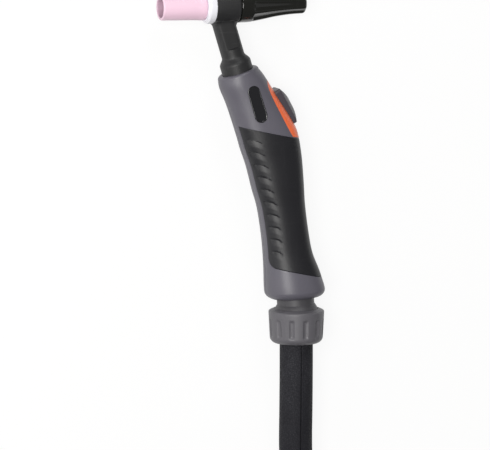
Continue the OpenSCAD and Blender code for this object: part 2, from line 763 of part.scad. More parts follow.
// Short curved grooves along both sides of the grip, each from the bare strip backwards
module grip_grooves_cut() {
    steps = 3;
    for (side = [-1, 1], k = [0 : grip_grooves - 1]) {
        y = along(grip_top)[1] - groove_first - k * groove_pitch;
        reach = mix(groove_reach[0], groove_reach[1], k / grip_grooves);
        for (j = [0 : steps - 1]) hull() {
            groove_bead(side, y, groove_start + reach * j / steps, j / steps);
            groove_bead(side, y, groove_start + reach * (j + 1) / steps, (j + 1) / steps);
        }
    }
}

// One end of a groove's stretch, back from the front edge: level at first, then bending down
module groove_bead(side, y, back, share) {
    first = handle_row(station_at(y));
    drop = groove_fall * share * share;
    row = handle_row(station_at(y - drop + (first[3] - back) * sin(first[2])));
    u = row[3] - back;
    z = row[4] * pow(1 - pow(u / row[3], row[5]), 1 / row[5]);
    translate([row[0] - u * cos(row[2]), row[1] - u * sin(row[2]), side * z])
        sphere(r = groove_w / 2 * (1.15 - 0.6 * share), $fn = 8);
}

module handle_screws() {
    color(steel) for (p = SCREWS) at_screw(p) difference() {
        union() {
            translate([0, 0, screw_head_z - 2.4]) cylinder(h = 2.4, d = screw_head_d);
            translate([0, 0, -9]) cylinder(h = screw_head_z + 8, d = screw_d - 0.7, $fn = 24);
        }
        translate([0, 0, screw_head_z]) for (a = [0, 90]) rotate([0, 0, a]) cube([3.4, 0.7, 2], center = true);
    }
}

module badge_plate() {
    rim = 0.8;
    color(cap_black) at_badge() difference() {
        linear_extrude(badge_t) stadium(badge_len, badge_w);
        translate([0, 0, badge_t - 0.3]) linear_extrude(over) stadium(badge_len - 2 * rim, badge_w - 2 * rim);
    }
}

// ---- Leads inside the handle ----
ferrule_top = -collar_depth - neck_flange_t - 1;
ferrule_len = 14;
hose_start = [mouth_x, mouth_y, 0] + (ferrule_len - ferrule_top + fine) * [sin(neck_lean), -cos(neck_lean), 0];
hose_in_d = 10;
hose_off = -2;                                   // the hose's place in the ball's bore
cable_off = 5.2;
cable_in_d = 3.6;
inner_end_h = -8;                                // where both end, from the ball's centre
inner_turn_h = spigot_top_h - 3.2;               // where both have turned into the bore

module power_ferrule() {
    color(brass) at_mouth() difference() {
        union() {
            rod(ferrule_top - ferrule_len, ferrule_top, hose_in_d / 2 + 0.4);
            rod(ferrule_top - 4, ferrule_top, hose_in_d / 2 + 1.2);
        }
        rod(ferrule_top - ferrule_len - over, ferrule_top + over, neck_tube_d / 2 + running);
    }
}

function on_spigot(off, h) = [off * cos(rest_tilt) - h * sin(rest_tilt), ball_h + off * sin(rest_tilt) + h * cos(rest_tilt), 0];
route_len = 152.2;                               // handle length that the two routes below were laid for
function in_handle(points) = [for (p = points) [p[0], handle_y + p[1] * handle_len / route_len, 0]];
HOSE_ROUTE = in_handle([
    [-29.6, 112.2], [-24.1, 91.5], [-18.6, 70.9], [-14.6, 53.2], [-11.3, 37.5], [-9.4, 26.7], [-6.7, 18.8]
]);
CABLE_ROUTE = in_handle([
    [-12.6, 102.4], [-10.1, 90.6], [-7.6, 74.8], [-6.1, 57.1], [-4.3, 41.4], [-2.3, 27.7], [0.1, 18.8]
]);

module power_hose() {
    color(rubber_black) place() tube(concat(
        [hose_start], HOSE_ROUTE,
        [on_spigot(hose_off, inner_turn_h), on_spigot(hose_off, 8), on_spigot(hose_off, inner_end_h)]
    ), hose_in_d / 2, 10);
}

function on_button(x, y) = [
    button_mid[0] + x * cos(button_lean) - y * sin(button_lean),
    button_mid[1] + x * sin(button_lean) + y * cos(button_lean), 0
];

module switch_cable() {
    color(rubber_black) place() tube(concat(
        [on_button(micro_top - micro_h / 2, micro_shift - micro_len / 2 - 0.3)], CABLE_ROUTE,
        [on_spigot(cable_off, inner_turn_h), on_spigot(cable_off, 8), on_spigot(cable_off, inner_end_h)]
    ), cable_in_d / 2, 8);
}

// ---- Ball joint ----
socket_wall = 1.15;
ball_cut_h = 9.5;                                // the ball is cut flat this far below its centre
socket_floor = 2.2;
socket_lip_h = 3;
socket_r = ball_d / 2 + running + socket_wall;
nut_wall_low = 2.5;

module ball_spigot() {
    r = ball_d / 2;
    shank = spigot_d / 2;
    flange = spigot_flange_d / 2;
    color(nut_grey) at_spigot() turned(concat(
        [[ball_bore_d / 2, -ball_cut_h]],
        arc(r, -asin(ball_cut_h / r), acos(shank / r), 15),
        [[shank, spigot_flange_h], [flange, spigot_flange_h], [flange, spigot_flange_h + spigot_flange_t],
            [shank, spigot_flange_h + spigot_flange_t], [shank, spigot_top_h], [ball_bore_d / 2, spigot_top_h]]
    ));
}

module ball_socket() {
    seat = ball_d / 2 + running;
    low = socket_low_y - ball_h;
    color(nylon_white) at_ball() turned(concat(
        [[socket_r, low], [socket_r, socket_lip_h]], arc(seat, asin(socket_lip_h / seat), asin(low / seat), 14)
    ));
}

socket_low_y = ball_h - ball_cut_h - 0.3 - socket_floor;

module collar_nut() {
    r = nut_d / 2;
    low_r = r - 0.9;
    round_r = 2.4;
    lip_r = ball_d / 2 + 0.25;
    lip_from = socket_lip_h + fine;
    lip_to = nut_len - ball_h;
    bore = sleeve_d / 2 + 0.4;
    profile = concat(
        [[bore, 0]],
        [for (a = [0 : 15 : 90]) [low_r - round_r * (1 - sin(a)), round_r * (1 - cos(a))]],
        [[r, nut_len - 3], [r, nut_len - 1.8], [r - 0.6, nut_len - 1.2], [spigot_d / 2 + 2.6, nut_len]],
        [for (p = arc(lip_r, asin(lip_to / lip_r), asin(lip_from / lip_r), 3)) p + [0, ball_h]],
        [[socket_r + fine, ball_h + lip_from], [socket_r + fine, nut_wall_low], [bore, nut_wall_low]]
    );
    flute = nut_flute_depth;
    color(nut_grey) place() difference() {
        turned(profile);
        for (i = [0 : nut_flutes - 1]) rotate([0, 360 * (i + 0.5) / nut_flutes, 0])
            translate([0, nut_len - 6.6, r]) rotate([90, 0, 0]) linear_extrude(nut_len - 10.6)
                polygon([[-2.7, 0.1], [-1.5, -0.7 * flute], [0, -flute], [1.5, -0.7 * flute], [2.7, 0.1], [2.7, 2], [-2.7, 2]]);
    }
}

module sleeve_clamp() {
    color(steel) place() difference() {
        rod(nut_wall_low + fine, socket_low_y - fine, socket_r - 2);
        rod(0, socket_low_y + over, sleeve_d / 2 + fine);
    }
}

// ---- Lead ----
stow_y = -82;                                    // the hank's upper end
lane_x = 8.5;                                    // where the lead enters the hank's outer lane
hank_z = strap_t + sleeve_d / 2;                 // height of the lower layer over the bench
outer_lane_r = hank_fold_r + hank_pitch;
middle_r = hank_fold_r + hank_pitch / 2;         // middle of the bundle of four strands
hank_x = lane_x - outer_lane_r;
hank_top_y = stow_y - outer_lane_r - sleeve_d / 2;
hank_low_y = hank_top_y - hank_run;
SLEEVE_ROUTE = [[0, -18, 0], [0, -45, -0.6], [0.6, -75, -2.4], [3, -105, -4.4], [6.3, -135, -5.4], [8.3, -162, -5.5]];

// Origin at the lower fold's centre, on the bench
module at_hank() { place() translate([hank_x, hank_low_y, -rest_z]) children(); }

module cable_sleeve() {
    color(leather_black) place() tube(concat(
        [[0, socket_low_y, 0]], SLEEVE_ROUTE, [[lane_x, hank_top_y, hank_z - rest_z]]
    ), sleeve_d / 2, 12);
}

// The four strands of the bundle are the corners of a square. On each pass of the left run the bundle makes
// a quarter turn, so each strand goes to the next corner: outside low, outside high, inside high, inside low.
corner_r = hank_pitch / sqrt(2);
twist_share = 0.76;                              // share of the left run in which the bundle turns
LOOP_STEPS = [2, 8, 6, 8];                       // right run, lower fold, left run, upper fold
loop_rings = 24;
leave_angle = 50;
leave_len = sleeve_d + 1;

function twist(share) = smooth(min(1, share / twist_share));
function bulge(share) = let (a = 90 * twist(share)) corner_r * (sin(45 + a) - sin(45));
function lane(turn, share) =                     // distance out from the middle line, and height
    let (a = 90 * (turn + twist(share)) - 45, b = bulge(share))
    [middle_r + corner_r * cos(a) - b, hank_z + hank_pitch / 2 + corner_r * sin(a) + b];

function hank_point(s) =
    let (turn = floor(s / loop_rings + 1e-9), k = s - turn * loop_rings)
    let (a = LOOP_STEPS[0], b = a + LOOP_STEPS[1], c = b + LOOP_STEPS[2])
    k < a ? let (p = lane(turn, 0)) [p[0], hank_run * (1 - k / a), p[1]]
    : k < b ? let (p = lane(turn, 0), t = 180 * (k - a) / (b - a)) [p[0] * cos(t), -p[0] * sin(t), p[1]]
    : k < c ? let (p = lane(turn, (k - b) / (c - b))) [-p[0], hank_run * (k - b) / (c - b), p[1]]
    : let (p = lane(turn, 1), t = 180 * (k - c) / (loop_rings - c)) [-p[0] * cos(t), hank_run + p[0] * sin(t), p[1]];

last_fold = 3 * loop_rings + LOOP_STEPS[0] + LOOP_STEPS[1];
function leave_point(t) = [-hank_fold_r * cos(t), hank_fold_r * sin(t), hank_z];
leave_dir = [sin(leave_angle), cos(leave_angle), 0];
hank_end = leave_point(leave_angle) + leave_len * leave_dir;
HANK_ROUTE = concat(
    [for (s = [0 : last_fold]) hank_point(s)],
    [leave_point(leave_angle / 2), leave_point(leave_angle), hank_end]
);

// Least distance between the surfaces of strands, from points close together on the middle line
function least_gap(step) =
    let (p = [for (s = [0 : step : last_fold]) hank_point(s)], skip = loop_rings / 2 / step)
    min([for (i = [0 : len(p) - 1], j = [i + skip : len(p) - 1]) norm(p[i] - p[j])]) - sleeve_d;
echo(hank_least_gap_mm = least_gap(0.5));

module cable_hank() {
    color(leather_black) at_hank() tube(HANK_ROUTE, sleeve_d / 2, 6);
}

// Strap round the bundle of strands, at y along a run
module strap(x, y) {
    w = hank_pitch + sleeve_d + 0.4;
    color(rubber_black) at_hank() translate([x, y + strap_w / 2, strap_t + w / 2 - 0.2]) rotate([90, 0, 0])
        linear_extrude(strap_w) difference() {
            rounded_rect(w + 2 * strap_t, w + 2 * strap_t - 0.4, 9);
            rounded_rect(w, w - 0.4, 7.5);
        }
}

module hank_strap_right() { strap(middle_r, hank_run / 2); }
module hank_strap_left() { strap(-middle_r, hank_run * 0.88); }

// ---- Where the lead splits ----
boot_len = 42;
boot_tip_d = 22;
tail_start = hank_end + boot_len * leave_dir;
across = [cos(leave_angle), -sin(leave_angle), 0];
POWER_SEAT = [-4.5, -2];                         // places of the three tails in the boot's end
GAS_SEAT = [5.5, -2.5];
CONTROL_SEAT = [0.5, 6];
function from_boot(seat, ahead) = tail_start + seat[0] * across + seat[1] * [0, 0, 1] + ahead * leave_dir;

module end_boot() {
    r = sleeve_d / 2 + 1;
    tip = boot_tip_d / 2;
    color(rubber_black) at_hank() translate(hank_end) rotate([0, 0, -leave_angle]) turned([
        [0, 0], [r, 0], [r, 9], [r - 0.8, 10], [mix(r, tip, 0.6), 18], [mix(r, tip, 0.6), 20], [tip + 0.4, 21],
        [tip + 0.4, 24], [tip - 0.4, 25], [tip - 0.4, 28], [tip + 0.2, 29], [tip + 0.2, 32], [tip - 0.6, 33],
        [tip - 0.6, boot_len - 1], [tip - 1.4, boot_len], [0, boot_len]
    ]);
}

plug_start = [-43, 174, plug_d / 2];
POWER_ROUTE = [
    [23, 117, 9], [33, 129, 6.5], [40.5, 143, 5.2], [45, 158, 5], [46.5, 174, 5], [43.8, 189.4, 5],
    [33.3, 205.8, 5], [16.9, 216.3, 5], [-2.4, 218.8, 5.6], [-19.6, 213.7, 7], [-33, 202.9, 8.8], [-40.6, 190, 11.2]
];

module power_lead() {
    color(rubber_black) at_hank() tube(concat(
        [from_boot(POWER_SEAT, 0), from_boot(POWER_SEAT, 10)], POWER_ROUTE, [plug_start + [0, 7, 0], plug_start]
    ), power_d / 2, 8);
}

// The plug points down along Y from its rear end
module at_plug() { at_hank() translate(plug_start) mirror([0, 1, 0]) children(); }

module power_plug_body() {
    r = plug_d / 2;
    nose = 7;
    color(rubber_black) at_plug() difference() {
        turned([
            [0, 0], [power_d / 2 + 1.8, 0], [power_d / 2 + 3, 8], [r - 2.5, 12], [r - 1, 14], [r - 1, 26], [r, 28],
            [r, plug_len - nose], [r - 1.6, plug_len - nose + 1], [r - 2.2, plug_len], [0, plug_len]
        ]);
        rod(plug_len - 16, plug_len + over, pin_d / 2 + 2.5 + fine);
        for (i = [0 : 7]) rotate([0, 45 * i + 22.5, 0]) translate([0, 16, r + 1.6]) rod(0, 9, 3.2);
    }
}

module power_plug_pin() {
    r = pin_d / 2;
    color(brass) at_plug() difference() {
        union() {
            rod(plug_len - 15.9, plug_len + 1.5, r + 2.5);
            turned([[0, plug_len], [r, plug_len], [r, plug_len + pin_len - 1], [r - 1, plug_len + pin_len], [0, plug_len + pin_len]]);
        }
        rod(plug_len + pin_len - 12, plug_len + pin_len + over, 1.5);
    }
}

gas_start = [2, -39, gas_nut_af / sqrt(3) + 0.4];
GAS_ROUTE = [
    [26, 101.5, 8.5], [36.5, 98.5, 6.2], [44.5, 91, 4.6], [49, 80, 4], [50.5, 66, 4], [50.5, 50, 4], [50.5, 34, 4],
    [50.5, 18, 4], [49.5, 3, 4], [45.5, -11, 4.2], [38.5, -22.5, 5], [29.5, -31.5, 7], [20, -37, 9.4]
];

module gas_hose() {
    color(hose_blue) at_hank() tube(concat(
        [from_boot(GAS_SEAT, 0), from_boot(GAS_SEAT, 8)], GAS_ROUTE, [gas_start + [10.5, 0, 0], gas_start]
    ), gas_d / 2, 8);
}

// The gas fitting points along -X from its rear end
module at_gas() { at_hank() translate(gas_start) rotate([0, 0, 90]) children(); }

gas_ferrule_len = 10;
gas_nut_from = 5;
gas_nut_len = 15;
gas_nut_wall = 3;
gas_relief_len = 5;                              // the cone's room behind the nut's thread

module gas_ferrule() {
    color(steel) at_gas() difference() {
        rod(-gas_ferrule_len, -0.1, gas_d / 2 + 1.1);
        rod(-gas_ferrule_len - over, over, gas_d / 2 + fine);
    }
}

module gas_nipple() {
    stem = gas_d / 2 + 0.3;
    cone = gas_thread_d / 2 - 0.6;
    seat = gas_nut_from + gas_nut_wall;
    color(brass) at_gas() difference() {
        turned([
            [0, 0], [stem, 0], [stem, seat + 0.2], [cone, seat + 0.2], [cone, seat + 1.8], [2.6, seat + gas_relief_len - 0.3],
            [0, seat + gas_relief_len - 0.3]
        ]);
        rod(2, 20, 1.6);
    }
}

module gas_nut() {
    stem = gas_d / 2 + 0.3;
    color(brass) at_gas() difference() {
        translate([0, gas_nut_from, 0]) rotate([-90, 0, 0]) cylinder(h = gas_nut_len, d = gas_nut_af * 2 / sqrt(3), $fn = 6);
        rod(gas_nut_from - over, gas_nut_from + gas_nut_len, stem + running);
        rod(gas_nut_from + gas_nut_wall, gas_nut_from + gas_nut_wall + gas_relief_len, gas_thread_d / 2 + 0.5);
        rod(gas_nut_from + gas_nut_wall, gas_nut_from + gas_nut_len + over, gas_thread_d / 2);
    }
}

control_start = [-6, 12, ring_d / 2 + 0.3];
CONTROL_ROUTE = [
    [22, 104.5, 18.2], [29.5, 101.5, 15.8], [35, 94.5, 12.4], [38, 84.5, 8.2], [39, 72.5, 4.4], [39, 58, 2.8],
    [39, 43, 2.75], [39, 28, 2.75], [38.5, 14, 2.75], [36, 1, 2.75], [29, -11, 2.9], [18, -17.5, 3.6],
    [6.5, -16.5, 5], [-2.5, -8, 7.2]
];

module control_lead() {
    color(rubber_black) at_hank() tube(concat(
        [from_boot(CONTROL_SEAT, 0), from_boot(CONTROL_SEAT, 8)], CONTROL_ROUTE, [control_start - [0, 6, 0], control_start]
    ), control_d / 2, 8);
}

// The control plug points up along Y
module at_control() { at_hank() translate(control_start) children(); }

ring_from = 19;
ring_len = 13;
insert_from = control_plug_len - 14;

module control_plug_body() {
    r = ring_d / 2 - 2;
    color(rubber_black) at_control() difference() {
        turned([
            [0, 0], [control_d / 2 + 1.4, 0], [control_d / 2 + 2, 6], [r - 1, 8], [r, 10], [r, ring_from - 0.9],
            [r - 0.6, ring_from - 0.3], [r - 0.6, control_plug_len - 2], [0, control_plug_len - 2]
        ]);
        rod(insert_from, control_plug_len + over, r - 2);
        for (a = [0 : 45 : 315]) rotate([0, a, 0]) translate([0, 10.5, r + 0.5]) rod(0, 6, 1);
    }
}

module control_plug_insert() {
    r = ring_d / 2 - 4 - fine;
    color(nylon_white) at_control() {
        rod(insert_from + fine, control_plug_len - 6, r);
        for (a = [0 : 72 : 288]) rotate([0, a, 0]) translate([0, control_plug_len - 7, r - 1.6]) rod(0, 6, 0.5);
    }
}

module control_plug_ring() {
    r = ring_d / 2;
    color(steel) at_control() difference() {
        turned([
            [0, ring_from], [r - 0.5, ring_from], [r, ring_from + 0.5], [r, ring_from + ring_len - 0.5],
            [r - 0.5, ring_from + ring_len], [0, ring_from + ring_len]
        ]);
        rod(ring_from - over, control_plug_len + over, ring_d / 2 - 2.6 + running);
    }
}

cup();
cup_gasket();
collet_body();
collet();
head_core();
head_cover();
neck_tube();
back_cap();
cap_o_ring();
handle_shell_left();
handle_shell_right();
rear_grip();
handle_screws();
badge_plate();
switch_housing();
switch_button();
microswitch();
switch_plunger();
switch_cable();
power_ferrule();
power_hose();
ball_spigot();
ball_socket();
collar_nut();
sleeve_clamp();
cable_sleeve();
cable_hank();
hank_strap_right();
hank_strap_left();
end_boot();
power_lead();
power_plug_body();
power_plug_pin();
gas_hose();
gas_ferrule();
gas_nipple();
gas_nut();
control_lead();
control_plug_body();
control_plug_insert();
control_plug_ring();
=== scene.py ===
"""Dresses a TIG welding torch: ceramic cup, fluted back cap, trigger handle with a soft grip, ball
joint and a sleeved lead that is put away in a strapped hank. Shapes are worked out in millimetres
in the torch's own frame, and place() puts them into the row frame in metres."""

import math

import bpy
import numpy as np
from mathutils import Matrix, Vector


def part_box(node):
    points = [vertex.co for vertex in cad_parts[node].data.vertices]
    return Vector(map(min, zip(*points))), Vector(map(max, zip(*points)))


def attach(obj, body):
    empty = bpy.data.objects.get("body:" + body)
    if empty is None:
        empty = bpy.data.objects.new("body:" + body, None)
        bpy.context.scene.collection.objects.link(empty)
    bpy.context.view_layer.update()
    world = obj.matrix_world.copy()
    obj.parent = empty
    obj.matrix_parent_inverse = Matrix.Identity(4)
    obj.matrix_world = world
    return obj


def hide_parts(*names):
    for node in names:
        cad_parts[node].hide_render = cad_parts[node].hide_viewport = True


bl_info = {
    "name": "TIG Torch Dresser",
    "version": (1, 0, 0),
    "blender": (4, 5, 0),
    "location": "3D View > Sidebar > Torch",
    "description": "Builds a TIG welding torch's surfaces, materials and stage over its solids",
    "category": "Object",
}

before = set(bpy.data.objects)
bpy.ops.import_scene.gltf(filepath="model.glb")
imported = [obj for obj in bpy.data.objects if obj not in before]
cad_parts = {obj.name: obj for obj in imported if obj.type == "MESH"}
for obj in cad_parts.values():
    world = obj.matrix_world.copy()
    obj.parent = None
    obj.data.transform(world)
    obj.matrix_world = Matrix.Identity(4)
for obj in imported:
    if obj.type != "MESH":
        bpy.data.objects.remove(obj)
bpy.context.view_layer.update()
MM = 0.001
UP = np.array([0.0, 0.0, 1.0])


def corner(node, side):
    """Lowest (side 0) or highest (side 1) corner of a solid, in millimetres."""
    return np.array(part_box(node)[side], dtype=float) / MM


# Where the torch's own frame lies in the row frame, in millimetres: Y runs along the lead from the
# collar nut's lower end to the head, and Z up from the torch's middle plane
NUT_LOW, NUT_HIGH = corner("collar_nut", 0), corner("collar_nut", 1)
REST = np.array([(NUT_LOW[0] + NUT_HIGH[0]) / 2, NUT_LOW[1], (NUT_LOW[2] + NUT_HIGH[2]) / 2])
CUP_LOW, CUP_HIGH = corner("cup", 0), corner("cup", 1)
HEAD_Y = (CUP_LOW[1] + CUP_HIGH[1]) / 2 - REST[1]

# The torch's main sizes in millimetres and degrees
NUT_LEN = 23.0
BALL_H = 17.0
JOINT_GAP = 7.4
REST_TILT = 3.0
HANDLE_Y = NUT_LEN + JOINT_GAP
HANDLE_LEN = 152.2
HANDLE_REACH = 40.8
BASE_X = -(HANDLE_Y - BALL_H) * math.sin(math.radians(REST_TILT))
MOUTH = np.array([BASE_X - HANDLE_REACH, HANDLE_Y + HANDLE_LEN, 0.0])
NECK_LEAN = 17.0
SLEEVE_R = 11.5


def place(points):
    """Torch frame in millimetres to row frame in metres."""
    return (np.asarray(points, dtype=float) + REST) * MM


def even_angles(n):
    """n angles round a full turn."""
    return np.linspace(0, 2 * np.pi, n, endpoint=False)


def between(start, stop, n):
    """n evenly spaced values, without the last."""
    return np.linspace(start, stop, n, endpoint=False)


def ease(f):
    """Smooth step 3 f^2 - 2 f^3 from 0 to 1."""
    return f * f * (3 - 2 * f)


def catmull_rom(a, b, c, d, t):
    """Catmull-Rom cubic from b (t = 0) to c (t = 1), with a before them and d after."""
    square, cube = (2 * a - 5 * b + 4 * c - d) * t**2, (3 * b - a - 3 * c + d) * t**3
    return 0.5 * (2 * b + (c - a) * t + square + cube)


def quarter_drop(away, radius):
    """How far a quarter circle lies below the surface it runs into, at a distance from its edge."""
    arc = radius - np.sqrt(np.clip(radius**2 - (radius - away) ** 2, 0, None))
    return np.where(away < radius, arc, 0)


def flute(angle, count, width):
    """Hollow from 0 to 1 that repeats round a body: 1 - (w / width)^2, with w running from 0 in the
    middle of a flute to 1 halfway to the next."""
    wave = np.abs(((angle * count / (2 * np.pi)) + 0.5) % 1 - 0.5) * 2
    return np.clip(1 - (wave / width) ** 2, 0, 1)


# ---------------------------------------------------------------- meshes


def make_mesh(name, verts, quads, uv=None, sharp=35.0, outward=True, tris=()):
    """Mesh object from points in metres, quads and triangles. The enclosed volume, as the sum of
    the signed volumes of its faces against the middle, tells whether the faces point out; if not,
    they are turned."""
    verts = np.asarray(verts, dtype=np.float64).reshape(-1, 3)
    quads = np.asarray(quads, dtype=np.int64).reshape(-1, 4)
    tris = np.asarray(tris, dtype=np.int64).reshape(-1, 3)
    if outward:
        c = verts - verts.mean(axis=0)
        halves = np.concatenate([quads[:, (0, 1, 2)], quads[:, (0, 2, 3)], tris])
        a, b, d = (c[halves[:, k]] for k in range(3))
        if np.einsum("ij,ij->i", a, np.cross(b, d)).sum() < 0:
            quads, tris = quads[:, ::-1], tris[:, ::-1]
    mesh = bpy.data.meshes.new(name)
    mesh.vertices.add(len(verts))
    mesh.vertices.foreach_set("co", verts.ravel())
    loops = np.concatenate([quads.ravel(), tris.ravel()])
    mesh.loops.add(len(loops))
    mesh.loops.foreach_set("vertex_index", loops)
    mesh.polygons.add(len(quads) + len(tris))
    starts = [np.arange(len(quads)) * 4, len(quads) * 4 + np.arange(len(tris)) * 3]
    mesh.polygons.foreach_set("loop_start", np.concatenate(starts))
    if uv is not None:
        layer = mesh.uv_layers.new(name="UVMap")
        layer.data.foreach_set("uv", np.asarray(uv, dtype=float).reshape(-1, 2)[loops].ravel())
    mesh.update(calc_edges=True)
    mesh.validate()
    mesh.shade_smooth()
    mesh.set_sharp_from_angle(angle=math.radians(sharp))
    obj = bpy.data.objects.new(name, mesh)
    bpy.context.scene.collection.objects.link(obj)
    return obj


def grid_quads(n, m, wrap=False):
    """Quads between the points of an n by m grid; with wrap, the last column joins the first."""
    i = np.arange(n - 1)[:, None]
    j = np.arange(m if wrap else m - 1)[None, :]
    k = (j + 1) % m
    quads = [i * m + j, (i + 1) * m + j, (i + 1) * m + k, i * m + k]
    return np.stack(quads, axis=-1).reshape(-1, 4)


def tube_surface(name, rings, uv=None, sharp=35.0):
    """Closed skin over rings of points, shape (n, m, 3) in metres: each ring is joined to the next,
    and a fan about its own middle closes each end."""
    n, m, _ = rings.shape
    verts = np.concatenate([rings.reshape(-1, 3), [rings[0].mean(axis=0), rings[-1].mean(axis=0)]])
    j = np.arange(m)
    k = (j + 1) % m
    first = np.stack([np.full(m, n * m), j, k], axis=1)
    last = np.stack([np.full(m, n * m + 1), (n - 1) * m + k, (n - 1) * m + j], axis=1)
    if uv is not None:
        uv = np.concatenate([uv.reshape(-1, 2), [uv[0].mean(axis=0), uv[-1].mean(axis=0)]])
    quads = grid_quads(n, m, wrap=True)
    return make_mesh(name, verts, quads, uv=uv, sharp=sharp, tris=np.concatenate([first, last]))


def loop_surface(name, rings, uv=None):
    """Skin over rings that close on themselves both ways, like a torus."""
    n, m, _ = rings.shape
    return make_mesh(name, rings, grid_quads(n + 1, m, wrap=True) % (n * m), uv=uv)


def basis(axis, ref=(0.0, 0.0, 1.0)):
    """Unit vector along axis and two more square to it, the first as near to ref as it can be."""
    axis = np.asarray(axis, dtype=float)
    axis = axis / np.linalg.norm(axis)
    e1 = np.asarray(ref, dtype=float) - axis * np.dot(ref, axis)
    e1 = e1 / np.linalg.norm(e1)
    return axis, e1, np.cross(axis, e1)


def fillet(points, radius, steps=4):
    """Polyline whose corners are rounded: each is replaced by a quadratic curve that starts and
    ends radius away from it, or 0.45 of the shorter side. A radius can be given for each point."""
    p = np.asarray(points, dtype=float)
    radius = np.broadcast_to(np.asarray(radius, dtype=float), (len(p),))
    out = [p[0]]
    for a, b, c, r in zip(p[:-2], p[1:-1], p[2:], radius[1:-1]):
        la, lc = np.linalg.norm(a - b), np.linalg.norm(c - b)
        d = min(r, 0.45 * la, 0.45 * lc)
        if d < 1e-6:
            out.append(b)
            continue
        start, end = b + (a - b) / la * d, b + (c - b) / lc * d
        for t in np.linspace(0, 1, steps + 1):
            out.append((1 - t) ** 2 * start + 2 * t * (1 - t) * b + t * t * end)
    out.append(p[-1])
    return np.array(out)


def turned(name, profile, origin, axis, sides=96, shape=None, closed=False):
    """Body of revolution: the profile's points (radius, place along the axis), in millimetres,
    turned round the axis. shape(angle, radius, along) may change the radius. Both ends of the
    profile lie on the axis, or the profile closes on itself."""
    axis, e1, e2 = basis(axis)
    p = np.asarray(profile, dtype=float)
    ang = even_angles(sides)
    r = np.repeat(p[:, 0][:, None], sides, axis=1)
    y = np.repeat(p[:, 1][:, None], sides, axis=1)
    if shape is not None:
        r = shape(ang[None, :], r, y)
    middle = np.asarray(origin, dtype=float) + y[..., None] * axis
    rings = middle + (r * np.cos(ang))[..., None] * e1 + (r * np.sin(ang))[..., None] * e2
    rings = place(rings)
    return loop_surface(name, rings) if closed else tube_surface(name, rings[1:-1])


def smooth_route(points, step):
    """Points every step millimetres along a Catmull-Rom curve through the given ones, and how far
    along it each lies."""
    p = np.asarray(points, dtype=float)
    q = np.concatenate([[2 * p[0] - p[1]], p, [2 * p[-1] - p[-2]]])
    fine = []
    for i in range(len(p) - 1):
        a, b, c, d = q[i : i + 4]
        n = max(4, int(np.linalg.norm(c - b) / step * 3))
        fine.append(catmull_rom(a, b, c, d, between(0, 1, n)[:, None]))
    fine = np.concatenate(fine + [p[-1:]])
    run = np.concatenate([[0], np.cumsum(np.linalg.norm(np.diff(fine, axis=0), axis=1))])
    n = max(2, int(round(run[-1] / step)) + 1)
    s = np.linspace(0, run[-1], n)
    return np.stack([np.interp(s, run, fine[:, k]) for k in range(3)], axis=1), s


def swept(name, route, run, radius, angles):
    """Tube along a route: a ring of points at each of its points, square to it, at
    radius(angle, run) and the given angles, counted from straight up towards the left. UV: metres
    along the tube, and turns round it."""
    t = np.gradient(route, axis=0)
    t /= np.linalg.norm(t, axis=1)[:, None]
    side = np.cross(UP, t)
    side /= np.linalg.norm(side, axis=1)[:, None]
    up = np.cross(t, side)
    r = radius(angles[None, :], run[:, None]) + 0 * run[:, None] * angles[None, :]
    pts = (
        route[:, None, :]
        + (r * np.cos(angles))[..., None] * up[:, None, :]
        + (r * np.sin(angles))[..., None] * side[:, None, :]
    )
    uv = np.stack(np.broadcast_arrays(run[:, None] * MM, angles[None, :] / (2 * np.pi)), axis=-1)
    return tube_surface(name, place(pts), uv=uv, sharp=40.0)


def add_piece(obj, finish, body, nodes=()):
    """Gives a new piece its finish and its body, and hides the solids it stands for."""
    obj.data.materials.clear()
    obj.data.materials.append(materials()[finish])
    if nodes:
        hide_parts(*nodes)
    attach(obj, body)
    return obj


def dress(finish, *nodes):
    """Gives solids that stay showing their finish."""
    for node in nodes:
        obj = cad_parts[node]
        obj.data.materials.clear()
        obj.data.materials.append(materials()[finish])


def cut(obj, cutter):
    """Takes the cutter's solid out of obj, and removes the cutter."""
    mod = obj.modifiers.new("cut", "BOOLEAN")
    mod.operation = "DIFFERENCE"
    mod.solver = "EXACT"
    mod.object = cutter
    bpy.context.view_layer.objects.active = obj
    with bpy.context.temp_override(object=obj, active_object=obj):
        bpy.ops.object.modifier_apply(modifier=mod.name)
    bpy.data.objects.remove(cutter, do_unlink=True)
    obj.data.shade_smooth()
    obj.data.set_sharp_from_angle(angle=math.radians(35))
    return obj


# ---------------------------------------------------------------- shader node groups


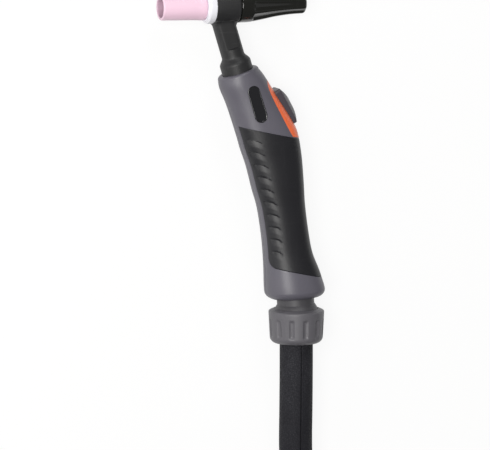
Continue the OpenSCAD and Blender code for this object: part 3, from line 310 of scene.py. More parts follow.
class Nodes:
    """Short hand for a node tree. A value given to an input is a number, a colour or a socket."""

    def __init__(self, tree):
        self.tree = tree

    def put(self, value, socket):
        """Links a socket to an input, or sets the input to a value."""
        if isinstance(value, bpy.types.NodeSocket):
            self.tree.links.new(value, socket)
        else:
            socket.default_value = value

    def give(self, node, **inputs):
        """Fills a node's inputs by name, with a line below for each space."""
        for key, value in inputs.items():
            self.put(value, node.inputs[key.replace("_", " ")])

    def add(self, kind, inputs=None, **settings):
        """New node with its settings, and its inputs by name or place."""
        node = self.tree.nodes.new(kind)
        for key, value in settings.items():
            setattr(node, key, value)
        for key, value in (inputs or {}).items():
            self.put(value, node.inputs[key])
        return node

    def math(self, operation, *values):
        return self.add("ShaderNodeMath", dict(enumerate(values)), operation=operation).outputs[0]

    def vector(self, operation, inputs):
        """Vector math; its first output, or the length."""
        node = self.add("ShaderNodeVectorMath", inputs, operation=operation)
        return node.outputs["Value" if operation == "LENGTH" else "Vector"]

    def mix(self, factor, a, b, blend="MIX"):
        """Blend of two colours."""
        inputs = {0: factor, 6: a, 7: b}
        return self.add("ShaderNodeMix", inputs, data_type="RGBA", blend_type=blend).outputs[2]

    def ramp(self, fac, low, high):
        """Grey that runs from one (place, value) to the other."""
        node = self.add("ShaderNodeValToRGB", {0: fac})
        for el, (pos, value) in zip(node.color_ramp.elements, (low, high)):
            el.position = pos
            el.color = (value, value, value, 1)
        return node.outputs[0]

    def at(self):
        """Object coordinates."""
        return self.add("ShaderNodeTexCoord").outputs["Object"]

    def noise(self, at, scale, detail, output=0):
        inputs = {"Vector": at, "Scale": scale, "Detail": detail}
        return self.add("ShaderNodeTexNoise", inputs).outputs[output]

    def group(self, key, **inputs):
        """Places a shared node group with values of its own, and returns its outputs."""
        node = self.add("ShaderNodeGroup", node_tree=build_groups()[key])
        self.give(node, **inputs)
        return node.outputs

    def bump(self, shader, height, strength, distance):
        """Feeds a height to the shader's normal; the distance is in metres."""
        inputs = {"Height": height, "Strength": strength, "Distance": distance}
        self.put(self.add("ShaderNodeBump", inputs).outputs[0], shader.inputs["Normal"])


def new_group(name, inputs, outputs):
    """Node group with named sockets: inputs as {name: default}, whose kind follows from the
    default, and the names of its outputs. Returns its helper, its inputs and its output node."""
    tree = bpy.data.node_groups.new(name, "ShaderNodeTree")

    def kind(value):
        return "NodeSocket" + {1: "Float", 3: "Vector", 4: "Color"}[np.size(value)]

    for label, default in inputs.items():
        sock = tree.interface.new_socket(label, in_out="INPUT", socket_type=kind(default))
        sock.default_value = default
    for label in outputs:
        socket = "NodeSocketColor" if label == "Color" else "NodeSocketFloat"
        tree.interface.new_socket(label, in_out="OUTPUT", socket_type=socket)
    n = Nodes(tree)
    return n, n.add("NodeGroupInput").outputs, n.add("NodeGroupOutput")


def group_moulded():
    """Moulded surface: fine sparks of texture as height, soft clouds of tone, and roughness that
    follows the clouds."""
    inputs = {
        "Color": (0.5, 0.5, 0.5, 1),
        "Grain Scale": 1800.0,
        "Tone Change": 0.08,
        "Roughness": 0.5,
        "Roughness Change": 0.1,
    }
    n, gi, go = new_group("Moulded Surface", inputs, ("Color", "Roughness", "Height"))
    at = n.at()
    grain = n.noise(at, gi["Grain Scale"], 2.0)
    cells = {"Vector": at, "Scale": gi["Grain Scale"]}
    spark = n.add("ShaderNodeTexVoronoi", cells).outputs["Distance"]
    cloud = n.math("SUBTRACT", n.noise(at, 38.0, 3.0), 0.5)
    tone = n.math("MULTIPLY", cloud, gi["Tone Change"])
    speck = n.math("MULTIPLY", n.math("SUBTRACT", grain, 0.5), gi["Tone Change"])
    value = n.math("ADD", n.math("ADD", tone, speck), 1.0)
    toned = n.add("ShaderNodeHueSaturation", {"Color": gi["Color"], "Value": value}).outputs[0]
    change = n.math("MULTIPLY", cloud, gi["Roughness Change"])
    height = n.math("ADD", grain, n.math("MULTIPLY", spark, 0.5))
    n.give(go, Color=toned, Roughness=n.math("ADD", change, gi["Roughness"]), Height=height)
    return n.tree


def group_scuffs():
    """Light handling marks: long thin scratches where either of two stretched noises is high."""
    n, gi, go = new_group("Handling Marks", {"Scale": 60.0, "Amount": 0.5}, ("Mask",))
    at = n.at()
    masks = []
    for turn, stretch in ((0.6, (1.0, 14.0, 1.0)), (-0.9, (12.0, 1.0, 3.0))):
        inputs = {"Vector": at, "Rotation": (0.2, 0.1, turn), "Scale": stretch}
        drawn = n.add("ShaderNodeMapping", inputs).outputs[0]
        masks.append(n.ramp(n.noise(drawn, gi["Scale"], 4.0), (0.60, 0.0), (0.68, 1.0)))
    n.give(go, Mask=n.math("MULTIPLY", n.math("MAXIMUM", *masks), gi["Amount"]))
    return n.tree


def group_leather():
    """Leather: cells of grain with creases between them, finer pores inside, and worn tone on the
    cells' tops."""
    inputs = {"Color": (0.03, 0.03, 0.03, 1), "Worn": (0.1, 0.1, 0.1, 1), "Scale": 520.0}
    n, gi, go = new_group("Leather Grain", inputs, ("Color", "Roughness", "Height"))
    at = n.at()
    warp = n.vector("SCALE", {0: n.noise(at, 300.0, 2.0, "Color"), 3: 0.0016})
    cells = {"Vector": n.vector("ADD", {0: at, 1: warp}), "Scale": gi["Scale"]}
    cell = n.add("ShaderNodeTexVoronoi", cells, feature="DISTANCE_TO_EDGE").outputs["Distance"]
    crease = n.ramp(cell, (0.0, 0.0), (0.22, 1.0))
    pore = n.noise(at, 2600.0, 2.0)
    worn = n.math("MULTIPLY", crease, n.ramp(n.noise(at, 26.0, 4.0), (0.35, 0.15), (0.7, 1.0)))
    worn = n.math("MULTIPLY", worn, n.ramp(pore, (0.3, 0.3), (0.7, 1.0)))
    n.give(
        go,
        Color=n.mix(worn, gi["Color"], gi["Worn"]),
        Roughness=n.math("ADD", n.math("MULTIPLY", worn, -0.14), 0.62),
        Height=n.math("ADD", crease, n.math("MULTIPLY", pore, 0.35)),
    )
    return n.tree


def group_tool_marks():
    """Turned or drawn metal: rings of tool marks across one axis, with a little tarnish."""
    inputs = {
        "Color": (0.8, 0.6, 0.3, 1),
        "Tarnish": (0.4, 0.25, 0.1, 1),
        "Stretch": (1.0, 1.0, 1.0),
        "Roughness": 0.25,
    }
    n, gi, go = new_group("Tool Marks", inputs, ("Color", "Roughness", "Height"))
    at = n.at()
    ring = n.noise(n.vector("MULTIPLY", {0: at, 1: gi["Stretch"]}), 900.0, 3.0)
    dark = n.ramp(n.noise(at, 140.0, 5.0), (0.45, 0.0), (0.75, 0.7))
    rough = n.math("ADD", n.math("MULTIPLY", ring, 0.12), n.math("MULTIPLY", dark, 0.2))
    n.give(
        go,
        Color=n.mix(dark, gi["Color"], gi["Tarnish"]),
        Roughness=n.math("ADD", rough, gi["Roughness"]),
        Height=ring,
    )
    return n.tree


GROUPS = {}


def build_groups():
    """Builds each shared node group once."""
    if not GROUPS:
        GROUPS["moulded"] = group_moulded()
        GROUPS["scuffs"] = group_scuffs()
        GROUPS["leather"] = group_leather()
        GROUPS["marks"] = group_tool_marks()
    return GROUPS


# ---------------------------------------------------------------- finishes


def start_material(name, diffuse):
    """New material with a Principled shader. Returns it, its node helper and the shader."""
    mat = bpy.data.materials.new(name)
    mat.use_nodes = True
    mat.diffuse_color = (*diffuse[:3], 1)
    n = Nodes(mat.node_tree)
    n.tree.nodes.clear()
    shader = n.add("ShaderNodeBsdfPrincipled")
    n.add("ShaderNodeOutputMaterial", {"Surface": shader.outputs[0]})
    return mat, n, shader


def moulded(name, color, roughness, change, grain, depth, tone, scuff=0.0, **sockets):
    """Plastic, rubber or ceramic: roughness and its change, the grain's scale and its depth in
    metres, the change of tone, handling marks, and other sockets of the shader by name."""
    mat, n, shader = start_material(name, color)
    out = n.group(
        "moulded",
        Color=(*color[:3], 1),
        Grain_Scale=grain,
        Tone_Change=tone,
        Roughness=roughness,
        Roughness_Change=change,
    )
    base, rough = out["Color"], out["Roughness"]
    if scuff:
        mask = n.group("scuffs", Amount=scuff)["Mask"]
        pale = [min(1.0, c * 1.25 + 0.04) for c in color[:3]]
        base = n.mix(mask, base, (*pale, 1))
        rough = n.math("ADD", rough, n.math("MULTIPLY", mask, 0.15))
    n.give(shader, Base_Color=base, Roughness=rough, **sockets)
    n.bump(shader, out["Height"], 0.6, depth)
    return mat


def ceramic(name, color):
    """Fired ceramic of the cup, with painted shade inside the bore: the painted shade fades out
    where the distance to the cup's axis grows from 6.3 to 7.0 mm."""
    mat = moulded(
        name, color, 0.42, 0.08, 2400.0, 0.00005, 0.05, Coat_Weight=0.15, Coat_Roughness=0.3
    )
    n = Nodes(mat.node_tree)
    shader = next(x for x in n.tree.nodes if x.type == "BSDF_PRINCIPLED")
    base = shader.inputs["Base Color"]
    unshaded = base.links[0].from_socket
    away = n.vector("SUBTRACT", {0: n.at(), 1: tuple(place([0.0, HEAD_Y, 0.0]))})
    away = n.vector("LENGTH", {0: n.vector("MULTIPLY", {0: away, 1: (0, 1, 1)})})
    fade = {0: away, 1: 6.3 * MM, 2: 7.0 * MM, 3: 1.0, 4: 0.0}
    inside = n.add("ShaderNodeMapRange", fade).outputs[0]
    # painted shade: the bore's colour is multiplied darker, standing in for the shade that falls
    # inside the cup's bore
    painted_bore_shade = n.mix(1.0, unshaded, (0.50, 0.47, 0.50, 1), "MULTIPLY")
    n.put(n.mix(inside, unshaded, painted_bore_shade), base)
    return mat


def machined(name, color, tarnish, stretch, roughness):
    """Bare metal with tool marks."""
    mat, n, shader = start_material(name, color)
    values = {"Color": (*color, 1), "Tarnish": (*tarnish, 1), "Stretch": stretch}
    out = n.group("marks", Roughness=roughness, **values)
    n.give(shader, Base_Color=out["Color"], Roughness=out["Roughness"], Metallic=1.0)
    n.bump(shader, out["Height"], 0.4, 0.00003)
    return mat


def leather(name, color, worn):
    """Black split leather of the lead's sleeve."""
    mat, n, shader = start_material(name, color)
    out = n.group("leather", Color=(*color, 1), Worn=(*worn, 1), Scale=760.0)
    n.give(shader, Base_Color=out["Color"], Roughness=out["Roughness"], Specular_IOR_Level=0.1)
    n.bump(shader, out["Height"], 0.7, 0.00018)
    return mat


def webbing(name, color, pale):
    """Woven strap: the product of two sine waves, along UV's two axes, with a paler thread."""
    mat, n, shader = start_material(name, color)
    uv = n.add("ShaderNodeUVMap", uv_map="UVMap").outputs[0]
    xyz = n.add("ShaderNodeSeparateXYZ", {0: uv}).outputs
    ribs = [
        n.math("ABSOLUTE", n.math("SINE", n.math("MULTIPLY", way, waves)))
        for way, waves in ((xyz[0], 2600.0), (xyz[1], 2100.0))
    ]
    thread = n.math("MULTIPLY", *ribs)
    tone = n.math("MULTIPLY", thread, n.noise(uv, 900.0, 3.0))
    rough = n.math("ADD", n.math("MULTIPLY", tone, -0.15), 0.85)
    n.give(shader, Base_Color=n.mix(tone, (*color, 1), (*pale, 1)), Roughness=rough)
    n.bump(shader, thread, 0.8, 0.0003)
    return mat


# Moulded finishes: name, colour of the panel or a fixed one, roughness, its change, the grain's
# scale, its depth in metres, the change of tone, handling marks, other sockets of the shader
MOULDED = {
    "gasket": ("White Gasket", "gasket", 0.35, 0.08, 1200.0, 3e-5, 0.03, 0, {"Coat_Weight": 0.1}),
    "head": (
        "Head Moulding", "head", 0.48, 0.12, 1500.0, 7e-5, 0.12, 0.15, {"Specular_IOR_Level": 0.4},
    ),
    "cap": ("Polished Cap", "cap", 0.2, 0.05, 700.0, 1e-5, 0.05, 0.05, {"Coat_Weight": 0.35}),
    "handle": ("Handle Moulding", "handle", 0.40, 0.08, 2600.0, 7e-5, 0.06, 0.05, {}),
    "grip": ("Soft Grip", "grip", 0.46, 0.10, 3000.0, 6e-5, 0.10, 0.06, {}),
    "orange": ("Orange Moulding", "orange", 0.35, 0.08, 2200.0, 4e-5, 0.04, 0, {}),
    "button": ("Button Moulding", "button", 0.35, 0.1, 2600.0, 6e-5, 0.08, 0, {}),
    "badge": (
        "Polished Badge", (0.012, 0.012, 0.014), 0.16, 0.06, 900.0, 1e-5, 0.05, 0,
        {"Coat_Weight": 0.5},
    ),
    "nut": ("Nut Moulding", "nut", 0.44, 0.1, 2200.0, 9e-5, 0.08, 0.12, {}),
    "spigot": ("Spigot Moulding", "spigot", 0.46, 0.1, 2200.0, 8e-5, 0.08, 0, {}),
    "nylon": ("White Nylon", (0.78, 0.78, 0.72), 0.4, 0.1, 1500.0, 4e-5, 0.04, 0, {}),
    "rubber": ("Black Rubber", (0.022, 0.022, 0.023), 0.55, 0.15, 1600.0, 1e-4, 0.15, 0.2, {}),
    "cable": ("Cable Jacket", (0.025, 0.025, 0.026), 0.48, 0.15, 1100.0, 8e-5, 0.12, 0.2, {}),
    "hose": ("Blue Hose", (0.016, 0.045, 0.16), 0.42, 0.12, 1200.0, 6e-5, 0.1, 0.15, {}),
}

# Bare metals: name, colour, tarnish, how far the noise is drawn along each axis, roughness
BRASS, BRASS_TARNISH = (0.66, 0.46, 0.17), (0.30, 0.17, 0.06)
METALS = {
    "brass": ("Turned Brass", BRASS, BRASS_TARNISH, (6.0, 0.3, 0.3), 0.25),
    "brass_plug": ("Plug Brass", BRASS, BRASS_TARNISH, (0.3, 6.0, 0.3), 0.25),
    "copper": ("Drawn Copper", (0.62, 0.27, 0.15), (0.28, 0.11, 0.06), (5.0, 0.5, 0.5), 0.3),
    "steel": ("Plated Steel", (0.55, 0.55, 0.56), (0.30, 0.29, 0.28), (0.4, 5.0, 0.4), 0.3),
}

MATERIALS = {}


def materials():
    """All finishes of the torch, built once from the panel's colours."""
    if not MATERIALS:
        c = bpy.context.scene.torch_colours
        for key, (label, color, *values, sockets) in MOULDED.items():
            color = getattr(c, color) if isinstance(color, str) else color
            MATERIALS[key] = moulded(label, color, *values, **sockets)
        for key, values in METALS.items():
            MATERIALS[key] = machined(*values)
        MATERIALS["ceramic"] = ceramic("Alumina Ceramic", c.cup)
        MATERIALS["leather"] = leather("Sleeve Leather", tuple(c.leather), tuple(c.leather_worn))
        MATERIALS["webbing"] = webbing("Strap Webbing", (0.012, 0.012, 0.014), (0.06, 0.06, 0.065))
    return MATERIALS


# ---------------------------------------------------------------- handle's outer form

# Stations of the handle: share of the length, share of the reach, tilt in degrees, and size from
# 0 mouth, 1 shoulder, 2 waist to 3 base
STATIONS = np.array(
    [
        [0.986, 0.988, 17, 0],
        [0.951, 0.924, 16.5, 0.25],
        [0.880, 0.784, 16.5, 0.42],
        [0.757, 0.559, 16, 0.86],
        [0.694, 0.466, 15.5, 1],
        [0.605, 0.380, 11.5, 1.25],
        [0.500, 0.314, 8, 1.58],
        [0.406, 0.255, 3.5, 1.95],
        [0.291, 0.191, 0.5, 2],
        [0.201, 0.140, 0, 2.15],
        [0.122, 0.074, 1, 2.6],
        [0.061, 0.032, 2, 2.92],
        [0.034, 0.015, REST_TILT, 3],
    ]
)
LAST = len(STATIONS) - 1
SIZES = np.array([[14.0, 13.2, 2.0], [19.6, 15.3, 2.5], [15.5, 14.5, 2.4], [20.0, 18.0, 2.3]])
MOUTH_ROW = np.array([MOUTH[0], MOUTH[1], NECK_LEAN, 11.7, 11.7, 2.0])
BASE_CORNER = 6.0


def station_table():
    """Dense table of sections along the handle. Between stations it is a Catmull-Rom curve. From -1
    to 0 the mouth's flat ring opens out with the root of the way; from the last station on, a
    quarter circle turns in to the base. Columns: x, y, tilt, half width, half thickness,
    superellipse exponent."""
    body_steps, end_steps = 1200, 100
    share, reach, tilt, kind = STATIONS.T
    rows = np.stack(
        [BASE_X - HANDLE_REACH * reach, HANDLE_Y + HANDLE_LEN * share, tilt]
        + [np.interp(kind, np.arange(4), SIZES[:, k]) for k in range(3)],
        axis=1,
    )
    t = np.linspace(0, LAST, body_steps + 1)
    i = np.minimum(t.astype(int), LAST - 1)
    before, start, stop, after = (rows[np.clip(i + k, 0, LAST)] for k in (-1, 0, 1, 2))
    body = catmull_rom(before, start, stop, after, (t - i)[:, None])
    way = np.linspace(0, 1, end_steps + 1)
    f = way[:-1, None]
    root = np.sqrt(1 - (1 - f) ** 2)
    mouth = MOUTH_ROW + (rows[0] - MOUTH_ROW) * np.concatenate([f, f, f, root, root, f], axis=1)
    ang = np.linspace(0, np.pi / 2, end_steps + 1)[1:, None]
    corner_in = BASE_CORNER * (1 - np.cos(ang))
    foot = np.concatenate(
        [
            rows[-1, :2] + (np.array([BASE_X, HANDLE_Y]) - rows[-1, :2]) * np.sin(ang),
            np.full_like(ang, REST_TILT),
            rows[-1, 3] - corner_in,
            rows[-1, 4] - corner_in,
            np.full_like(ang, rows[-1, 5]),
        ],
        axis=1,
    )
    param = np.concatenate([np.linspace(-1, 0, end_steps + 1)[:-1], t, LAST + way[1:]])
    return param, np.concatenate([mouth, body, foot])


TABLE_T, TABLE = station_table()


def section_at(t):
    """The section's six values at each t, by straight interpolation in the dense table."""
    return np.stack([np.interp(t, TABLE_T, TABLE[:, k]) for k in range(6)], axis=-1)


def in_section(row, u, v):
    """Points of sections: u across, in the plane that is tilted about Z, and v up."""
    tilt = np.radians(row[..., 2])
    return np.stack([row[..., 0] + u * np.cos(tilt), row[..., 1] + u * np.sin(tilt), v], axis=-1)


def handle_point(t, a, inset=0.0):
    """Handle's surface: at station t the superellipse u = A |cos a|^(2/e), v = B |sin a|^(2/e),
    with both half sizes pulled in by inset. a is 0 at the back and pi at the front."""
    r = section_at(t)
    power = 2 / r[..., 5]
    c, s = np.cos(a), np.sin(a)
    u = (r[..., 3] - inset) * np.sign(c) * np.abs(c) ** power
    v = (r[..., 4] - inset) * np.sign(s) * np.abs(s) ** power
    return in_section(r, u, v)


def station_at(share):
    """Station whose spine lies at that share of the handle's length."""
    return float(np.interp(-(HANDLE_Y + HANDLE_LEN * share), -TABLE[:, 1], TABLE_T))


# Soft grip: slope of its upper and lower edge in degrees, its first and last row, thickness, the
# bare strip's half width down the front, and the radius of the grip's lower front corner
GRIP_SLOPE = -12.6
GRIP_TOP, GRIP_LOW = station_at(0.733), station_at(0.118)
GRIP_TOP_Y, GRIP_LOW_Y = (float(section_at(np.array(t))[1]) for t in (GRIP_TOP, GRIP_LOW))
GRIP_T = 1.2
STRIP_HALF = 5.5
GRIP_CORNER = 6.5


def row_slope(t):
    """Slope of a row of the handle's grid in the side view: the neck's lean at the mouth, the
    grip's slope over the grip, and the rest tilt at the base, with smooth steps between."""
    knots = np.array([-1.0, 0.0, GRIP_TOP, GRIP_LOW, LAST, LAST + 1.0])
    values = np.array([NECK_LEAN, NECK_LEAN, GRIP_SLOPE, GRIP_SLOPE, REST_TILT, REST_TILT])
    i = np.clip(np.searchsorted(knots, t, side="right") - 1, 0, len(knots) - 2)
    f = np.clip((t - knots[i]) / (knots[i + 1] - knots[i]), 0, 1)
    return values[i] + (values[i + 1] - values[i]) * ease(f)


def slanted_stations(rows, a):
    """Station of each point of a row: rows are straight lines in the side view, through the spine's
    point at the row's station and with its slope. Solved for all points together by Newton's steps,
    each held to 0.8 of a station."""
    rows = np.asarray(rows, dtype=float)[:, None]
    slope = np.radians(row_slope(rows))
    q = section_at(rows)[..., :2]
    t = rows + 0 * a
    probe, longest = 0.01, 0.8

    def miss(t):
        p = handle_point(t, a)
        return -(p[..., 0] - q[..., 0]) * np.sin(slope) + (p[..., 1] - q[..., 1]) * np.cos(slope)

    for _ in range(12):
        h = miss(t)
        rate = (miss(t + probe) - h) / probe
        rate = np.where(np.abs(rate) < 0.5, -0.5, rate)
        t = np.clip(t - np.clip(h / rate, -longest, longest), 0.0, float(LAST))
    return np.where((rows <= 0) | (rows >= LAST), rows + 0 * a, t)


# Button and its housing: the button's axes point out of the handle and up along it. The housing's
# seat is a superellipse in the side view, shifted along the handle and leaned against the button.
BUTTON_LEAN = 28.7
BUTTON_SHIFT = 1.3
BUTTON_SIZE, BUTTON_CORNER = (25.8, 13.6), 2.0
BEZEL_DEPTH, BEZEL_HALF, BEZEL_SHIFT, BEZEL_LEAN = 6.6, 22.5, -0.4, -2.0
BEZEL_T = 4.0
BUTTON_N = np.array(
    [math.cos(math.radians(BUTTON_LEAN)), math.sin(math.radians(BUTTON_LEAN)), 0.0]
)
BUTTON_S = np.array([-BUTTON_N[1], BUTTON_N[0], 0.0])
# The button's middle lies between the back edge's points at these two stations
BUTTON_ENDS = handle_point(np.array([2.03, 3.55]), 0.0)
BUTTON_MID = (BUTTON_ENDS[0] + BUTTON_ENDS[1]) / 2 + BUTTON_SHIFT * BUTTON_S
BEZEL_MID = BUTTON_MID + BEZEL_SHIFT * BUTTON_S
BEZEL_TURN = math.radians(BEZEL_LEAN)
BEZEL_N = math.cos(BEZEL_TURN) * BUTTON_N + math.sin(BEZEL_TURN) * BUTTON_S
BEZEL_S = math.cos(BEZEL_TURN) * BUTTON_S - math.sin(BEZEL_TURN) * BUTTON_N


def bezel_miss(p):
    """How far a point lies outside the superellipse |n/depth|^4 + |s/half|^4 = 1 that seats the
    switch housing, in the side view and along the depth."""
    n = np.abs((p - BEZEL_MID) @ BEZEL_N) / BEZEL_DEPTH
    s = np.abs((p - BEZEL_MID) @ BEZEL_S) / BEZEL_HALF
    return BEZEL_DEPTH * ((n**4 + s**4) ** 0.25 - 1)


def bezel_angle(rows):
    """Angle at which each row meets the housing's seat, 0 where it doesn't."""
    a = np.linspace(0, 1.5, 90)[None, :] * np.ones((len(rows), 1))
    d = bezel_miss(handle_point(slanted_stations(rows, a), a))
    k = np.maximum(np.argmax(d > 0, axis=1), 1)
    i = np.arange(len(rows))
    d0, d1 = d[i, k - 1], d[i, k]
    step = np.where(d1 - d0 == 0, 1, d1 - d0)
    cross = a[i, k - 1] + (a[i, k] - a[i, k - 1]) * (-d0) / step
    return np.where(d[:, 0] < 0, cross, 0.0)


def seat_rows():
    """First and last row of the handle's grid that meet the housing's seat at the back edge."""
    rows = np.linspace(0.2, GRIP_TOP, 3000)
    edge = handle_point(slanted_stations(rows, np.zeros((len(rows), 1))), 0.0)
    inside = rows[bezel_miss(edge)[:, 0] < 0]
    return inside[0], inside[-1]


def strip_angle(rows, gap=0.0):
    """Angle of the grip's front edge, where the bare strip begins: |z| = half the strip's width,
    drawn back round the grip's lower front corner as a quarter circle. gap moves it towards the
    strip, in millimetres."""
    rows = np.asarray(rows, dtype=float)
    a = np.full(len(rows), np.pi * 0.9)
    for _ in range(4):
        r = section_at(slanted_stations(rows, a[:, None]))[:, 0]
        a = np.pi - np.arcsin(np.clip((STRIP_HALF - gap) / r[:, 4], 0, 1) ** (r[:, 5] / 2))
    above = (section_at(rows)[:, 1] - GRIP_LOW_Y) * math.cos(math.radians(GRIP_SLOPE))
    shift = quarter_drop(np.clip(above, 0, None), GRIP_CORNER)
    t = slanted_stations(rows, a[:, None])[:, 0]
    probe = 0.01
    across = handle_point(t, a + probe) - handle_point(t, a - probe)
    speed = np.linalg.norm(across, axis=1) / (2 * probe)
    return a - shift / np.maximum(speed, 4.0)


# Handle's wall in millimetres: its thickness, the least of it, half the gap between the two shells,
# and the round room inside at the mouth and at the base
WALL, LEAST_WALL, HALF_GAP = 2.5, 0.9, 0.06
MOUTH_ROOM, BASE_ROOM = 10.55, 12.6
# How far the shell's recess lies under the grip and past its edge
GRIP_ROOM, EDGE_ROOM = 0.05, 0.12


def shell_rows():
    """Rows of the shell's grid, closest where the grip and the switch housing begin and end."""
    near, step = 0.004, 0.0005
    first, last = seat_rows()
    seat = [first - 0.003, first, last, last + 0.003]
    rows = [
        -np.cos(between(0, np.pi / 2, 9)),
        np.sort(np.concatenate([between(0, GRIP_TOP - near, 110), seat])),
        [GRIP_TOP - near, GRIP_TOP - near + step],
        between(GRIP_TOP + 0.03, GRIP_LOW - 0.6, 60),
        between(GRIP_LOW - 0.6, GRIP_LOW - 0.02, 16),
        [GRIP_LOW + near - step, GRIP_LOW + near],
        between(GRIP_LOW + 0.05, LAST, 34),
        LAST + np.sin(np.linspace(0, np.pi / 2, 12)),
    ]
    rows = np.concatenate(rows)
    return rows, (rows > GRIP_TOP - near) & (rows < GRIP_LOW + near)


def shell_half(name, side):
    """One half of the handle as a closed wall. Its rows are slanted lines from mouth to base; its
    columns run from the switch housing's edge, or the back, over the side to the front. Inside the
    grip's outline the wall is set back by the grip's depth. The inside is the same form pulled
    in."""
    rows, recessed_row = shell_rows()
    a_back, a_edge = bezel_angle(rows)[:, None], strip_angle(rows, gap=EDGE_ROOM)[:, None]
    under = np.concatenate([np.linspace(0, 1, 64), [1.0]])
    strip = np.concatenate([[0.004], np.linspace(0.05, 0.9, 12), [0.97, 1.0]])
    a = np.concatenate(
        [a_back + (a_edge - a_back) * under, a_edge + (np.pi - a_edge) * strip], axis=1
    )
    recessed_col = np.arange(a.shape[1]) < len(under) - 1
    t = slanted_stations(rows, a)
    # the wall's outside, with a fine chamfer along the parting line
    inset = np.where(recessed_row[:, None] & recessed_col, GRIP_T + GRIP_ROOM, 0.0)
    open_back = a_back[:, 0] > 0
    chamfer = np.zeros_like(inset)
    chamfer[:, -1] = bpy.context.scene.torch_sizes.parting / MM
    chamfer[~open_back, 0] = chamfer[0, -1]
    outer = handle_point(t, a, inset + chamfer)
    outer[..., 2] = np.maximum(outer[..., 2], 0.0)
    outer[~open_back, 0, 2] = HALF_GAP
    outer[:, -1, 2] = HALF_GAP
    # the room inside: the outside pulled in, and round at both ends
    r = section_at(t)
    depth = np.interp(t, [-1, 0.55, 1.4, 10.4, 11.2, LAST + 1], [0, 0, 1, 1, 0, 0])
    ends = np.where(t < 5, MOUTH_ROOM, BASE_ROOM)
    power = 2 / (2 + (r[..., 5] - 2) * depth)
    width, height = (
        np.minimum(ends + (np.maximum(half - WALL, ends) - ends) * depth, half - LEAST_WALL)
        for half in (r[..., 3], r[..., 4])
    )
    c, s = np.cos(a), np.sin(a)
    u, v = width * np.sign(c) * np.abs(c) ** power, height * np.abs(s) ** power
    inner = in_section(r, u, np.maximum(v, HALF_GAP))
    loop = np.concatenate([outer, inner[:, ::-1]], axis=1)
    loop[..., 2] *= side
    n, m, _ = loop.shape
    j = np.arange(m // 2 - 1)
    low_end = np.stack([j, j + 1, m - 2 - j, m - 1 - j], axis=1)
    high_end = low_end[:, ::-1] + (n - 1) * m
    quads = np.concatenate([grid_quads(n, m, wrap=True), low_end, high_end])
    return make_mesh(name, place(loop).reshape(-1, 3), quads, sharp=32.0)


# The grip's grooves in millimetres: the first one below the grip's edge, their pitch, the length of
# the first and of the eleventh, their place behind the front, the lip's bend and the ramp's length
GROOVE_FIRST, GROOVE_PITCH = 3.9, 8.3
GROOVE_LONG, GROOVE_SHORT = 8.8, 5.4
GROOVE_BACK, GROOVE_BEND, GROOVE_RAMP = 2.4, 2.2, 4.4


def groove_depth(p, front_x, sizes):
    """Depth of the grip's scale-like grooves at each point: below a curved lip the surface drops at
    once and comes back in a ramp. The lip is level at its front end and bends down with the square
    of the way back."""
    depth = np.zeros(p.shape[:-1])
    for k in range(sizes.grooves):
        reach = GROOVE_LONG + (GROOVE_SHORT - GROOVE_LONG) * k / 10
        s = (p[..., 0] - front_x - GROOVE_BACK) / reach
        lip = GRIP_TOP_Y - GROOVE_FIRST - GROOVE_PITCH * k - GROOVE_BEND * np.clip(s, 0, 1.2) ** 2
        below = lip - p[..., 1]
        ramp = np.clip(1 - below / GROOVE_RAMP, 0, 1) ** 1.3 * np.clip((below + 0.25) / 0.25, 0, 1)
        fade = ease(np.clip((s + 0.12) / 0.24, 0, 1) * np.clip((1.12 - s) / 0.5, 0, 1))
        depth = np.maximum(depth, sizes.groove_depth / MM * ramp * fade)
    return depth


def grip_rows(grooves):
    """Rows of the grip's grid: fine ones in the lower half of each groove down to the next one's
    lip, others at most 0.9 mm apart, and a few close together at both borders."""
    border = np.array([0.0, 0.004, 0.012, 0.024, 0.04, 0.06])
    fine = []
    for k in range(grooves):
        y = GRIP_TOP_Y - GROOVE_FIRST - GROOVE_PITCH * k - 4.6
        fine.append(np.linspace(y + 0.9, y - 4.6, 22))
    fine = np.unique(np.round(np.concatenate(fine), 3))[::-1]
    fine = fine[(fine < GRIP_TOP_Y - 1.2) & (fine > GRIP_LOW_Y + 1.2)]
    heights = [GRIP_TOP_Y - 0.6]
    for y in [*fine, GRIP_LOW_Y + 0.6]:
        while heights[-1] - y > 0.9:
            heights.append(heights[-1] - 0.8)
        if heights[-1] - y > 0.05:
            heights.append(y)
    middle = np.interp(-np.array(heights), -TABLE[:, 1], TABLE_T)
    rows = np.concatenate([GRIP_TOP + border, middle, (GRIP_LOW - border)[::-1]])
    return rows[np.concatenate([[True], np.diff(rows) > 0.0008])]


